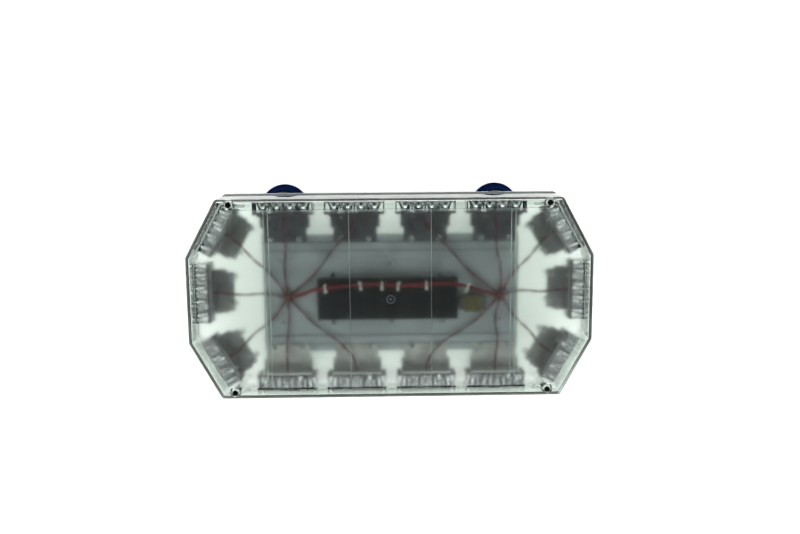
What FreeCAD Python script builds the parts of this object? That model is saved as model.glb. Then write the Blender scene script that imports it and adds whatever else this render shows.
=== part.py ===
"""Mini LED warning light bar: a clear octagonal dome over fourteen LED modules, on four magnet feet.

Frame: +X along the bar, +Y to the rear, +Z up.
The origin lies on the supporting surface, below the bar's centre.
"""
import FreeCAD, Part
import Sketcher
import math
import os

from FreeCAD import Placement, Rotation, Vector

os.makedirs("parts", exist_ok=True)
doc = FreeCAD.newDocument("LightBar")

DIMENSIONS = (
    ("top_length", 391.6, "top face of the cover, end to end"),
    ("top_width", 193.8, "top face of the cover, front to rear"),
    ("cut_x", 30.2, "corner cut of the top face along X"),
    ("cut_y", 55.3, "corner cut of the top face along Y"),
    ("top_level", 82.5, "height of the top face"),
    ("flare", 0.0875, "outward lean of the walls, per unit of height"),
    ("wall", 2.5, "wall and floor thickness of the cover and the tray"),
    ("cover_level", 35.2, "underside of the cover's wall"),
    ("tray_top", 34.0, "rim of the tray"),
    ("tray_level", 22.0, "underside of the tray"),
    ("bead_out", 1.2, "bead along the parting line, outward"),
    ("bead_depth", 2.5, "bead along the parting line, height"),
    ("panel_inset", 10.0, "edge of the top to the edge of the frosted panel"),
    ("panel_step", 0.4, "step around the frosted panel, inside the cover"),
    ("rib_width", 0.8, "ribs across the inside of the top"),
    ("rib_depth", 1.0, "ribs across the inside of the top"),
    ("rib_inner", 39.4, "X of the two inner ribs"),
    ("rib_outer", 116.3, "X of the outer ribs' first line"),
    ("rib_gap", 4.2, "between the two lines of an outer rib"),
    ("gate_radius", 4.5, "moulding gate in the middle of the top"),
    ("gate_depth", 0.4, "moulding gate in the middle of the top"),
    ("screw_x", 153.2, "X of the cover screws"),
    ("screw_y", 91.7, "Y of the cover screws"),
    ("boss_side", 9.4, "square bosses under the top"),
    ("boss_depth", 8.0, "square bosses under the top"),
    ("cover_post_radius", 3.3, "tray posts under the cover's bosses"),
    ("cover_post_top", 72.9, "tray posts under the cover's bosses"),
    ("recess_radius", 3.2, "recess of a cover screw's head"),
    ("recess_depth", 2.6, "recess of a cover screw's head"),
    ("bore_radius", 1.7, "clearance bore of a cover screw"),
    ("overrun", 1.0, "how far a cutting tool stands past what it cuts"),
    ("platform_length", 260.0, "aluminium carrier, along X"),
    ("platform_width", 121.0, "aluminium carrier, along Y"),
    ("platform_top", 40.0, "top of the carrier"),
    ("platform_thick", 4.0, "plate of the carrier"),
    ("ridge_inner", 44.0, "ridge on the carrier, nearer side"),
    ("ridge_outer", 52.8, "ridge on the carrier, farther side"),
    ("ridge_rise", 1.2, "ridge on the carrier, height"),
    ("keel_offset", 20.0, "Y of the two stiffening keels under the carrier"),
    ("keel_depth", 5.0, "keels under the carrier"),
    ("keel_thick", 3.0, "keels under the carrier"),
    ("post_radius", 4.5, "tray posts under the carrier and the brackets"),
    ("carrier_post_x", 112.0, "X of the outer carrier posts"),
    ("carrier_post_y", 30.0, "Y of the carrier posts"),
    ("thread_radius", 1.55, "hole that takes an M3 thread"),
    ("thread_depth", 10.0, "hole that takes an M3 thread"),
    ("clear_radius", 1.7, "clearance hole for an M3 screw"),
    ("module_pitch", 71.0, "spacing of the front and rear modules"),
    ("module_setback", 15.7, "edge of the top to a module board's back"),
    ("module_middle", 46.0, "height of the LEDs"),
    ("module_height", 20.0, "reflector and board"),
    ("module_length", 60.0, "reflector and board on the straight sides"),
    ("corner_length", 54.0, "reflector and board at the corners"),
    ("end_shift", 3.0, "end modules, towards the rear"),
    ("corner_shift", 1.5, "corner modules, along the cut away from the end"),
    ("reflector_depth", 15.0, "reflector, back to mouth"),
    ("cup_pitch", 13.4, "spacing of the LEDs"),
    ("cup_mouth", 6.4, "radius of a cup at its mouth"),
    ("cup_throat", 2.7, "radius of a cup at the LED"),
    ("cup_bulge", 5.7, "radius of a cup at half its depth"),
    ("board_thick", 1.6, "LED board"),
    ("led_radius", 2.2, "LED lens"),
    ("led_height", 2.0, "LED lens"),
    ("lace_x", 13.4, "module screws, either side of the middle"),
    ("lace_z", 7.3, "module screws, above and below the middle"),
    ("lace_radius", 1.25, "M2.5 thread"),
    ("lace_clear", 1.35, "clearance hole of a module screw"),
    ("lace_head", 2.25, "head of a module screw"),
    ("lace_room", 0.15, "between a module screw's head and its counterbore"),
    ("lace_slip", 0.05, "between a module screw and its bracket's hole"),
    ("lace_sink", 9.0, "counterbore of a module screw"),
    ("bracket_thick", 2.0, "bracket sheet"),
    ("side_reach", 28.0, "foot of a front or rear bracket"),
    ("side_neck", 44.0, "foot of a front or rear bracket, inner part"),
    ("side_width", 50.0, "foot of a front or rear bracket, outer part"),
    ("end_reach", 20.5, "foot of an end or corner bracket"),
    ("end_neck", 40.0, "foot of an end or corner bracket, inner part"),
    ("end_width", 45.0, "foot of an end or corner bracket, outer part"),
    ("shoulder", 13.5, "depth of a foot's wider part"),
    ("foot_screw_x", 14.0, "bracket screws, either side of the middle"),
    ("foot_screw_in", 3.0, "bracket screws, from the foot's inner edge"),
    ("lead_hole", 1.6, "radius of a bracket's lead hole"),
    ("lead_rise", 10.0, "a bracket's lead hole above the foot's underside"),
    ("shank_radius", 1.5, "M3 shank"),
    ("head_radius", 2.8, "M3 pan head"),
    ("head_height", 2.0, "M3 pan head"),
    ("short_shank", 8.0, "chassis screw"),
    ("long_shank", 16.0, "cover screw"),
    ("lace_shank", 10.0, "module screw"),
    ("slot_width", 0.9, "cross recess of a screw"),
    ("slot_depth", 1.2, "cross recess of a screw"),
    ("case_length", 142.0, "driver case"),
    ("case_width", 41.0, "driver case"),
    ("case_height", 11.0, "driver case"),
    ("case_x", -3.2, "X of the driver case's middle"),
    ("case_y", -5.0, "Y of the driver case's middle"),
    ("board_play", 1.0, "room round the driver board in its case"),
    ("case_wall", 1.8, "driver case"),
    ("lug_reach", 7.0, "screw lugs of the driver case, outward"),
    ("lug_width", 9.0, "screw lugs of the driver case"),
    ("lug_offset", 55.0, "screw lugs, either side of the case's middle"),
    ("driver_board_lift", 3.0, "driver board above the carrier"),
    ("choke_x", 83.0, "filter choke"),
    ("choke_y", -11.0, "filter choke"),
    ("choke_length", 18.0, "winding of the filter choke"),
    ("choke_width", 17.0, "winding of the filter choke"),
    ("choke_height", 13.0, "winding of the filter choke"),
    ("core_length", 27.0, "ferrite core of the filter choke"),
    ("core_width", 12.0, "ferrite core of the filter choke"),
    ("core_height", 9.0, "ferrite core of the filter choke"),
    ("lead_radius", 1.2, "a module's pair of wires"),
    ("lead_approach", 14.0, "where a lead turns square to its bracket, from the board's back"),
    ("trunk_radius", 2.6, "wire bundle along the driver"),
    ("trunk_lift", 0.9, "wire bundle above the driver case"),
    ("tie_play", 0.15, "between the bundle and its ties"),
    ("tie_band", 0.3, "thickness of a tie's band"),
    ("tie_width", 2.2, "width of a tie's band"),
    ("tie_lock_length", 3.0, "lock of a tie, outward"),
    ("tie_lock_width", 3.4, "lock of a tie, along the bundle"),
    ("tie_lock_height", 2.8, "lock of a tie, upward"),
    ("splice_radius", 4.5, "splice caps"),
    ("splice_height", 9.2, "splice caps"),
    ("splice_depth", 1.0, "how far a wire enters its splice cap"),
    ("splice_gap", 0.2, "splice caps above the carrier"),
    ("lead_level", 2.6, "module leads in the splice caps, above the carrier"),
    ("trunk_level", 6.4, "wire bundle in the splice caps, above the carrier"),
    ("left_splice_x", -105.0, "splice cap of the left half"),
    ("right_splice_x", 112.0, "splice cap of the right half"),
    ("splice_y", -3.5, "both splice caps"),
    ("grommet_x", -60.0, "cable entry in the floor"),
    ("grommet_y", 30.0, "cable entry in the floor"),
    ("grommet_hole", 7.0, "radius of the floor's hole"),
    ("grommet_flange", 9.0, "radius of the grommet's flanges"),
    ("grommet_bore", 3.3, "radius of the grommet's blind bore"),
    ("grommet_lip", 2.0, "height of a flange"),
    ("vent_x", 60.0, "vent plug in the floor"),
    ("vent_hole", 4.0, "radius of the vent's hole"),
    ("vent_flange", 6.0, "radius of the vent's head"),
    ("vent_catch", 0.8, "vent's snap ring beyond its hole"),
    ("foot_x", 112.2, "X of the feet"),
    ("foot_y", 86.1, "Y of the feet"),
    ("lip_radius", 26.0, "suction cup's lip"),
    ("lip_height", 1.2, "suction cup's lip"),
    ("lip_band", 1.0, "flat ring of the lip that meets the surface"),
    ("skirt_swell", 2.2, "suction cup's skirt at half its height, outside the collar"),
    ("collar_height", 3.0, "straight band of the collar"),
    ("cavity_height", 2.6, "hollow under the suction cup"),
    ("collar_radius", 20.0, "suction cup's collar"),
    ("pot_radius", 18.0, "magnet pot"),
    ("pot_bottom", 1.0, "underside of the magnet pot"),
    ("pot_top", 12.0, "top of the magnet pot and of the collar"),
    ("magnet_radius", 14.0, "magnet in the pot"),
    ("magnet_top", 5.4, "top of the magnet"),
    ("socket_radius", 8.5, "boss around the ball"),
    ("socket_top", 15.6, "top of that boss"),
    ("ball_level", 11.5, "centre of the ball"),
    ("ball_radius", 5.0, "ball of a foot's stud"),
    ("ball_play", 0.08, "radial play between ball and socket"),
    ("neck_radius", 2.0, "stud's neck above the ball"),
    ("collar_level", 19.5, "underside of the stud's collar"),
    ("stud_collar", 5.0, "radius of the stud's collar"),
    ("stud_radius", 2.5, "M5 thread of the stud"),
    ("stud_top", 31.0, "end of the stud"),
    ("stud_hole", 2.65, "stud's hole in the floor and in its washer"),
    ("nut_slip", 0.05, "between the stud's thread and its nut"),
    ("washer_radius", 5.0, "M5 washer"),
    ("washer_thick", 1.0, "M5 washer"),
    ("nut_flats", 8.0, "M5 nut across its flats"),
    ("nut_height", 4.0, "M5 nut"),
)

sheet = doc.addObject("Spreadsheet::Sheet", "Sizes")
for row, (alias, number, meaning) in enumerate(DIMENSIONS, start=1):
    sheet.set(f"A{row}", meaning)
    sheet.set(f"B{row}", str(number))
    sheet.setAlias(f"B{row}", alias)
doc.recompute()

ALIASES = sorted((alias for alias, _, _ in DIMENSIONS), key=len, reverse=True)
nodes = []


# ---- formulas ------------------------------------------------------------------------------------
def bound(formula):
    """The formula with each dimension's name pointing at its cell."""
    words = []
    word = ""
    for character in formula + " ":
        if character.isalnum() or character in "_.":
            word += character
            continue
        words.append(f"Sizes.{word}" if word in ALIASES else word)
        words.append(character)
        word = ""
    return "".join(words).strip()


def value(formula):
    """The formula's number, from the sheet."""
    return float(sheet.evalExpression(bound(formula)))


def bind(item, **formulas):
    """Bind an object's properties to formulas; two underscores in a name stand for a point."""
    for name, formula in formulas.items():
        item.setExpression(name.replace("__", "."), bound(formula))


def place(item, x="0", y="0", z="0"):
    """Bind an object's position to formulas."""
    bind(item, Placement__Base__x=x, Placement__Base__y=y, Placement__Base__z=z)


# ---- part primitives -----------------------------------------------------------------------------
def box(name, length, width, height, x="0", y="0", z="0"):
    """A box centred on x and y that stands on z."""
    item = doc.addObject("Part::Box", name)
    bind(item, Length=length, Width=width, Height=height)
    place(item, f"{x} - ({length}) / 2", f"{y} - ({width}) / 2", z)
    return item


def rod(name, radius, height, x="0", y="0", z="0", axis="z"):
    """A cylinder from (x, y, z) along +Z, or along +Y."""
    item = doc.addObject("Part::Cylinder", name)
    bind(item, Radius=radius, Height=height)
    if axis == "y":
        item.Placement = Placement(Vector(), Rotation(Vector(1, 0, 0), -90))
    place(item, x, y, z)
    return item


def ball(name, radius, z):
    item = doc.addObject("Part::Sphere", name)
    bind(item, Radius=radius)
    place(item, z=z)
    return item


def fuse(name, items):
    item = doc.addObject("Part::MultiFuse", name)
    item.Shapes = items
    return item


def cut(name, base, tool):
    item = doc.addObject("Part::Cut", name)
    item.Base = base
    item.Tool = tool
    return item


def together(name, items):
    item = doc.addObject("Part::Compound", name)
    item.Links = items
    return item


# ---- part design ---------------------------------------------------------------------------------
def new_body(name):
    return doc.addObject("PartDesign::Body", name)


def new_sketch(body, name, plane, level):
    """A sketch on one of the body's own origin planes, lifted off it by a formula."""
    sketch = body.newObject("Sketcher::SketchObject", name)
    support = next(feature for feature in body.Origin.OriginFeatures if feature.Role == plane)
    sketch.AttachmentSupport = [(support, "")]
    sketch.MapMode = "FlatFace"
    sketch.setExpression("AttachmentOffset.Base.z", bound(level))
    return sketch


def pin_point(sketch, element, vertex, x, y):
    """Hold a point of the sketch at two formulas."""
    for kind, formula in (("DistanceX", x), ("DistanceY", y)):
        number = value(formula)
        if abs(number) < 1e-9:
            axis = -2 if kind == "DistanceX" else -1
            sketch.addConstraint(Sketcher.Constraint("PointOnObject", element, vertex, axis))
        elif number > 0:
            index = sketch.addConstraint(Sketcher.Constraint(kind, -1, 1, element, vertex, number))
            sketch.setExpression(f"Constraints[{index}]", bound(formula))
        else:
            index = sketch.addConstraint(Sketcher.Constraint(kind, element, vertex, -1, 1, -number))
            sketch.setExpression(f"Constraints[{index}]", bound(f"-({formula})"))


def draw_polygon(sketch, corners):
    """A closed polygon through corners that are pairs of formulas."""
    points = [Vector(value(x), value(y), 0) for x, y in corners]
    count = len(points)
    lines = [Part.LineSegment(points[i], points[(i + 1) % count]) for i in range(count)]
    first = sketch.GeometryCount
    sketch.addGeometry(lines, False)
    for i in range(count):
        joined = first + (i + 1) % count
        sketch.addConstraint(Sketcher.Constraint("Coincident", first + i, 2, joined, 1))
    for i, (x, y) in enumerate(corners):
        pin_point(sketch, first + i, 1, x, y)


def draw_circle(sketch, radius, x, y):
    """A circle whose centre and radius are formulas."""
    circle = Part.Circle(Vector(value(x), value(y), 0), Vector(0, 0, 1), value(radius))
    element = sketch.addGeometry(circle, False)
    index = sketch.addConstraint(Sketcher.Constraint("Radius", element, value(radius)))
    sketch.setExpression(f"Constraints[{index}]", bound(radius))
    pin_point(sketch, element, 3, x, y)


def polygon_sketch(body, name, corners, level="0", plane="XY_Plane"):
    sketch = new_sketch(body, name, plane, level)
    draw_polygon(sketch, corners)
    return sketch


def circles_sketch(body, name, circles, level="0", plane="XY_Plane"):
    sketch = new_sketch(body, name, plane, level)
    for radius, x, y in circles:
        draw_circle(sketch, radius, x, y)
    return sketch


def extrude(body, kind, sketch, length, reverse=False, middle=False):
    """A Pad or a Pocket of a sketch; it has to change the body's volume."""
    before = body.Shape.Volume if body.Tip else 0.0
    feature = body.newObject(f"PartDesign::{kind}", f"{sketch.Name}_{kind}")
    feature.Profile = sketch
    feature.Reversed = reverse
    feature.Midplane = middle
    bind(feature, Length=length)
    doc.recompute()
    check_change(feature, before, grows=kind == "Pad")
    return feature


def revolve(body, kind, sketch):
    """A full Revolution or Groove of a sketch about its vertical axis."""
    before = body.Shape.Volume if body.Tip else 0.0
    feature = body.newObject(f"PartDesign::{kind}", f"{sketch.Name}_{kind}")
    feature.Profile = sketch
    feature.ReferenceAxis = (sketch, ["V_Axis"])
    feature.Angle = 360
    doc.recompute()
    check_change(feature, before, grows=kind == "Revolution")
    return feature


def loft(body, kind, lower, upper):
    """A ruled loft between two sketches."""
    before = body.Shape.Volume if body.Tip else 0.0
    feature = body.newObject(f"PartDesign::{kind}Loft", f"{lower.Name}_{kind}")
    feature.Profile = lower
    feature.Sections = [upper]
    feature.Ruled = True
    doc.recompute()
    check_change(feature, before, grows=kind == "Additive")
    return feature


def row_of(body, feature, sketch, length, count):
    """A linear pattern of a feature along its sketch's horizontal axis."""
    pattern = body.newObject("PartDesign::LinearPattern", f"{feature.Name}_Row")
    pattern.Originals = [feature]
    pattern.Direction = (sketch, ["H_Axis"])
    pattern.Occurrences = count
    bind(pattern, Length=length)
    body.Tip = pattern
    doc.recompute()
    return pattern


def check_change(feature, before, grows):
    after = feature.Shape.Volume
    if (after > before) != grows or abs(after - before) < 1e-3:
        raise RuntimeError(f"{feature.Name} did not change the volume as it should: {before} to {after}")


# ---- nodes and groups ----------------------------------------------------------------------------
def node(item, label):
    """Register an object as a sub-part, exported under its label."""
    item.Label = label
    nodes.append(item)
    return item


def group_node(label, template, placements):
    """One sub-part of separate solids: the template at each placement."""
    doc.recompute()
    item = doc.addObject("Part::Feature", label)
    item.Shape = Part.makeCompound([placed(template.Shape, spot) for spot in placements])
    return node(item, label)


def placed(shape, spot):
    return shape.transformed(spot.toMatrix(), True)


def spot(x, y, z, turn=0.0):
    return Placement(Vector(x, y, z), Rotation(Vector(0, 0, 1), turn))


SIGNS = ((-1, -1), (1, -1), (1, 1), (-1, 1))


def mirrored(x, y):
    """The four points at plus and minus two formulas."""
    return [(f"{'-' if sx < 0 else ''}({x})", f"{'-' if sy < 0 else ''}({y})") for sx, sy in SIGNS]


# ---- outline of the cover and the tray -----------------------------------------------------------
CUT_SPAN = "sqrt(cut_x * cut_x + cut_y * cut_y)"


def octagon(offset):
    """Corners of the top face's outline, moved outward by a formula on every side."""
    grown_x = f"cut_x + ({offset}) * (1 - ({CUT_SPAN} - cut_x) / cut_y)"
    grown_y = f"cut_y + ({offset}) * (1 - ({CUT_SPAN} - cut_y) / cut_x)"
    reach_x = f"top_length / 2 + ({offset})"
    reach_y = f"top_width / 2 + ({offset})"
    along_x = f"{reach_x} - ({grown_x})"
    along_y = f"{reach_y} - ({grown_y})"
    return [
        (f"-({along_x})", f"-({reach_y})"),
        (along_x, f"-({reach_y})"),
        (reach_x, f"-({along_y})"),
        (reach_x, along_y),
        (along_x, reach_y),
        (f"-({along_x})", reach_y),
        (f"-({reach_x})", along_y),
        (f"-({reach_x})", f"-({along_y})"),
    ]


def lean(level):
    """How far the outer wall stands outside the top outline at a level."""
    return f"flare * (top_level - ({level}))"


def wall_shell(body, name, lower_level, upper_level, floor_below=None, roof_above=None):
    """A flared octagonal shell: open below under a roof, or open above over a floor."""
    outer = [
        polygon_sketch(body, f"{name}_outer_low", octagon(lean(lower_level)), lower_level),
        polygon_sketch(body, f"{name}_outer_high", octagon(lean(upper_level)), upper_level),
    ]
    loft(body, "Additive", *outer)
    inner_low = floor_below or lower_level
    inner_high = roof_above or upper_level
    inner = [
        polygon_sketch(body, f"{name}_inner_low", octagon(f"{lean(inner_low)} - wall"), inner_low),
        polygon_sketch(body, f"{name}_inner_high", octagon(f"{lean(inner_high)} - wall"), inner_high),
    ]
    loft(body, "Subtractive", *inner)


def bead(body, name, level):
    """A bead around the wall at the parting line, one bead_depth high."""
    sketch = new_sketch(body, name, "XY_Plane", level)
    draw_polygon(sketch, octagon(f"{lean(level)} + bead_out"))
    draw_polygon(sketch, octagon(f"{lean(level)} - wall"))
    extrude(body, "Pad", sketch, "bead_depth")


# ---- module places -------------------------------------------------------------------------------
def module_places():
    """Name, side and placement of each module.

    The origin lies at its board's back, +Y outward, with z at the foot's underside.
    """
    foot = value("platform_top")
    side_y = value("top_width / 2 - module_setback")
    end_x = value("top_length / 2 - module_setback")
    pitch = value("module_pitch")
    places = []
    for number in range(4):
        x = (number - 1.5) * pitch
        places.append((f"rear_{number + 1}", "rear", spot(x, side_y, foot)))
    for number in range(4):
        x = (number - 1.5) * pitch
        places.append((f"front_{number + 1}", "front", spot(x, -side_y, foot, 180)))
    shift = value("end_shift")
    places.append(("left", "end", spot(-end_x, shift, foot, 90)))
    places.append(("right", "end", spot(end_x, shift, foot, -90)))
    for sx, sy in SIGNS:
        name = f"{'front' if sy < 0 else 'rear'}_{'left' if sx < 0 else 'right'}"
        places.append((name, "corner", corner_place(sx, sy, foot)))
    return places


def corner_place(sx, sy, foot):
    """Placement of the module behind one corner cut."""
    cut_x = value("cut_x")
    cut_y = value("cut_y")
    span = math.hypot(cut_x, cut_y)
    outward = Vector(cut_y / span, cut_x / span, 0)
    along = Vector(outward.y, -outward.x, 0)
    middle = Vector(value("(top_length - cut_x) / 2"), value("(top_width - cut_y) / 2"), 0)
    base = middle - outward * value("module_setback") - along * value("corner_shift")
    turn = math.degrees(math.atan2(sy * outward.y, sx * outward.x)) - 90
    return spot(sx * base.x, sy * base.y, foot, turn)


MODULES = module_places()


def on_modules(x, y, z, sides=("rear", "front", "end", "corner")):
    """World points of a module-frame point, for the modules of the given sides."""
    return [where.multVec(Vector(x, y, z)) for _, side, where in MODULES if side in sides]


def foot_screw_points(sides, reach):
    """World points of the two screws of each bracket."""
    y = -value(f"{reach} - foot_screw_in")
    x = value("foot_screw_x")
    return on_modules(-x, y, 0, sides) + on_modules(x, y, 0, sides)


# ---- tray ----------------------------------------------------------------------------------------
def posts(body, name, places, radius, top):
    """Round posts on the tray's floor, each with a threaded hole from its top."""
    floor = "tray_level + wall / 2"
    solid = circles_sketch(body, f"{name}_posts", [(radius, x, y) for x, y in places], floor)
    extrude(body, "Pad", solid, f"{top} - ({floor})")
    holes = circles_sketch(body, f"{name}_threads", [("thread_radius", x, y) for x, y in places], top)
    extrude(body, "Pocket", holes, "thread_depth")


def build_tray():
    body = new_body("BaseTray")
    wall_shell(body, "tray", "tray_level", "tray_top", floor_below="tray_level + wall")
    bead(body, "tray_bead", "tray_top - bead_depth")
    carriers = mirrored("carrier_post_x", "carrier_post_y")
    carriers += [("0", "carrier_post_y"), ("0", "-(carrier_post_y)")]
    posts(body, "carrier", carriers, "post_radius", "platform_top - platform_thick")
    brackets = [(str(point.x), str(point.y)) for point in foot_screw_points(("end", "corner"), "end_reach")]
    posts(body, "bracket", brackets, "post_radius", "platform_top")
    posts(body, "cover", mirrored("screw_x", "screw_y"), "cover_post_radius", "cover_post_top")
    openings = [("stud_hole", x, y) for x, y in mirrored("foot_x", "foot_y")]
    openings.append(("grommet_hole", "grommet_x", "grommet_y"))
    openings.append(("vent_hole", "vent_x", "grommet_y"))
    through = circles_sketch(body, "floor_openings", openings, "tray_level + wall")
    extrude(body, "Pocket", through, "wall + overrun")
    node(body, "base_tray")


def build_gasket():
    body = new_body("LensGasket")
    sketch = new_sketch(body, "gasket_ring", "XY_Plane", "tray_top")
    draw_polygon(sketch, octagon(f"{lean('tray_top')} + bead_out / 2"))
    draw_polygon(sketch, octagon(f"{lean('tray_top')} - wall"))
    extrude(body, "Pad", sketch, "cover_level - tray_top")
    node(body, "lens_gasket")


# ---- cover ---------------------------------------------------------------------------------------
def build_cover():
    body = new_body("LensCover")
    roof = "top_level - wall"
    wall_shell(body, "cover", "cover_level", "top_level", roof_above=roof)
    bead(body, "cover_bead", "cover_level")
    panel = polygon_sketch(body, "panel", octagon("-panel_inset"), roof)
    extrude(body, "Pocket", panel, "panel_step", reverse=True)
    ribs = new_sketch(body, "ribs", "XY_Plane", f"{roof} + panel_step")
    lines = ("rib_inner", "rib_outer", "rib_outer + rib_gap")
    for x in lines + tuple(f"-({line})" for line in lines):
        draw_polygon(ribs, rib_outline(x))
    extrude(body, "Pad", ribs, "rib_depth", reverse=True)
    add_cover_bosses(body, roof)
    gate = circles_sketch(body, "gate", [("gate_radius", "0", "0")], "top_level")
    extrude(body, "Pocket", gate, "gate_depth")
    node(body, "lens_cover")


def rib_outline(x):
    """A thin rib from front to rear across the frosted panel."""
    reach = "top_width / 2 - panel_inset"
    half = "rib_width / 2"
    return [
        (f"{x} - {half}", f"-({reach})"),
        (f"{x} + {half}", f"-({reach})"),
        (f"{x} + {half}", reach),
        (f"{x} - {half}", reach),
    ]


def add_cover_bosses(body, roof):
    """Square bosses for the cover screws, with their bores and head recesses."""
    places = mirrored("screw_x", "screw_y")
    squares = new_sketch(body, "bosses", "XY_Plane", f"{roof} + wall / 2")
    for x, y in places:
        half = "boss_side / 2"
        corners = [(f"{x} {sx} {half}", f"{y} {sy} {half}") for sx, sy in ("--", "+-", "++", "-+")]
        draw_polygon(squares, corners)
    extrude(body, "Pad", squares, "boss_depth", reverse=True)
    recesses = circles_sketch(body, "recesses", [("recess_radius", x, y) for x, y in places], "top_level")
    extrude(body, "Pocket", recesses, "recess_depth")
    bores = circles_sketch(body, "bores", [("bore_radius", x, y) for x, y in places], "top_level")
    extrude(body, "Pocket", bores, "wall + boss_depth")


# ---- carrier -------------------------------------------------------------------------------------
def carrier_outline():
    """Half of the extrusion's section from the middle of its underside round to the middle of its top."""
    under = "platform_top - platform_thick"
    keel = f"{under} - keel_depth"
    ridge = "platform_top + ridge_rise"
    right = [
        ("keel_offset - keel_thick / 2", under),
        ("keel_offset - keel_thick / 2", keel),
        ("keel_offset + keel_thick / 2", keel),
        ("keel_offset + keel_thick / 2", under),
        ("platform_width / 2", under),
        ("platform_width / 2", "platform_top"),
        ("ridge_outer", "platform_top"),
        ("ridge_outer", ridge),
        ("ridge_inner", ridge),
        ("ridge_inner", "platform_top"),
    ]
    left = [(f"-({y})", z) for y, z in reversed(right)]
    return right + left


def build_carrier():
    body = new_body("HeatsinkPlatform")
    section = polygon_sketch(body, "extrusion", carrier_outline(), plane="YZ_Plane")
    extrude(body, "Pad", section, "platform_length", middle=True)
    places = mirrored("carrier_post_x", "carrier_post_y")
    places += [("0", "carrier_post_y"), ("0", "-(carrier_post_y)")]
    points = foot_screw_points(("rear", "front"), "side_reach")
    circles = [("clear_radius", x, y) for x, y in places]
    circles += [("thread_radius", str(point.x), str(point.y)) for point in points]
    holes = circles_sketch(body, "carrier_holes", circles, "platform_top")
    extrude(body, "Pocket", holes, "platform_thick + overrun")
    node(body, "heatsink_platform")


# ---- modules -------------------------------------------------------------------------------------
CUPS_X = (-1.5, -0.5, 0.5, 1.5)


def lace_points(middle):
    """The two module screws, upper left and lower right of the LED row, as pairs of formulas."""
    return [("-lace_x", f"{middle} + lace_z"), ("lace_x", f"{middle} - lace_z")]


def build_reflector(name, length, where):
    """A chromed block with four cups that open towards +Y, standing in front of its board."""
    body = new_body(f"Reflector_{name}")
    base = "module_middle - platform_top"
    back = "board_thick"
    block = [
        (f"-({length} / 2)", back),
        (f"{length} / 2", back),
        (f"{length} / 2", "reflector_depth"),
        (f"-({length} / 2)", "reflector_depth"),
    ]
    sketch = polygon_sketch(body, f"block_{name}", block, f"{base} - module_height / 2")
    extrude(body, "Pad", sketch, "module_height")
    cup = new_sketch(body, f"cup_{name}", "XY_Plane", base)
    bind(cup, AttachmentOffset__Base__x="-1.5 * cup_pitch")
    draw_cup(cup, back)
    groove = revolve(body, "Groove", cup)
    row_of(body, groove, cup, "3 * cup_pitch", 4)
    laces = lace_points(base)
    clear = circles_sketch(body, f"laces_{name}", [("lace_clear", x, z) for x, z in laces], plane="XZ_Plane")
    extrude(body, "Pocket", clear, "reflector_depth + overrun")
    sinks = circles_sketch(
        body,
        f"sinks_{name}",
        [("lace_head + lace_room", x, z) for x, z in laces],
        "-reflector_depth",
        "XZ_Plane",
    )
    extrude(body, "Pocket", sinks, "lace_sink", reverse=True)
    body.Placement = where
    node(body, f"reflector_{name}")


def draw_cup(sketch, back):
    """Half of a cup's section: axis, throat, curved flank and mouth."""
    depth = "reflector_depth"
    low = Vector(0, value(back), 0)
    start = Vector(value("cup_throat"), value(back), 0)
    end = Vector(value("cup_mouth"), value(depth), 0)
    top = Vector(0, value(depth), 0)
    halfway = Vector(value("cup_bulge"), value(f"({back} + {depth}) / 2"), 0)
    flank = Part.Arc(start, halfway, end)
    lines = [Part.LineSegment(low, start), flank, Part.LineSegment(end, top), Part.LineSegment(top, low)]
    sketch.addGeometry(lines, False)
    arc_forward = sketch.Geometry[1].StartPoint.distanceToPoint(start) < 1e-6
    arc_start, arc_end = (1, 2) if arc_forward else (2, 1)
    joints = ((0, 2, 1, arc_start), (1, arc_end, 2, 1), (2, 2, 3, 1), (3, 2, 0, 1))
    for element, end_point, following, start_point in joints:
        sketch.addConstraint(Sketcher.Constraint("Coincident", element, end_point, following, start_point))
    pin_point(sketch, 0, 1, "0", back)
    pin_point(sketch, 0, 2, "cup_throat", back)
    pin_point(sketch, 2, 1, "cup_mouth", depth)
    pin_point(sketch, 3, 1, "0", depth)


def build_board(name, length, where):
    """A board with four LEDs, in front of its bracket."""
    middle = "module_middle - platform_top"
    low = f"{middle} - module_height / 2"
    plate = box(f"Plate_{name}", length, "board_thick", "module_height", "0", "board_thick / 2", low)
    holes = [
        rod(f"Lace_{name}_{i}", "lace_clear", "board_thick", x, "0", z, "y")
        for i, (x, z) in enumerate(lace_points(middle))
    ]
    board = cut(f"Board_{name}", plate, fuse(f"Laces_{name}", holes))
    leds = [
        rod(f"Led_{name}_{i}", "led_radius", "led_height", f"{x} * cup_pitch", "board_thick", middle, "y")
        for i, x in enumerate(CUPS_X)
    ]
    item = together(f"LedBoard_{name}", [board] + leds)
    item.Placement = where
    node(item, f"led_board_{name}")


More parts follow.
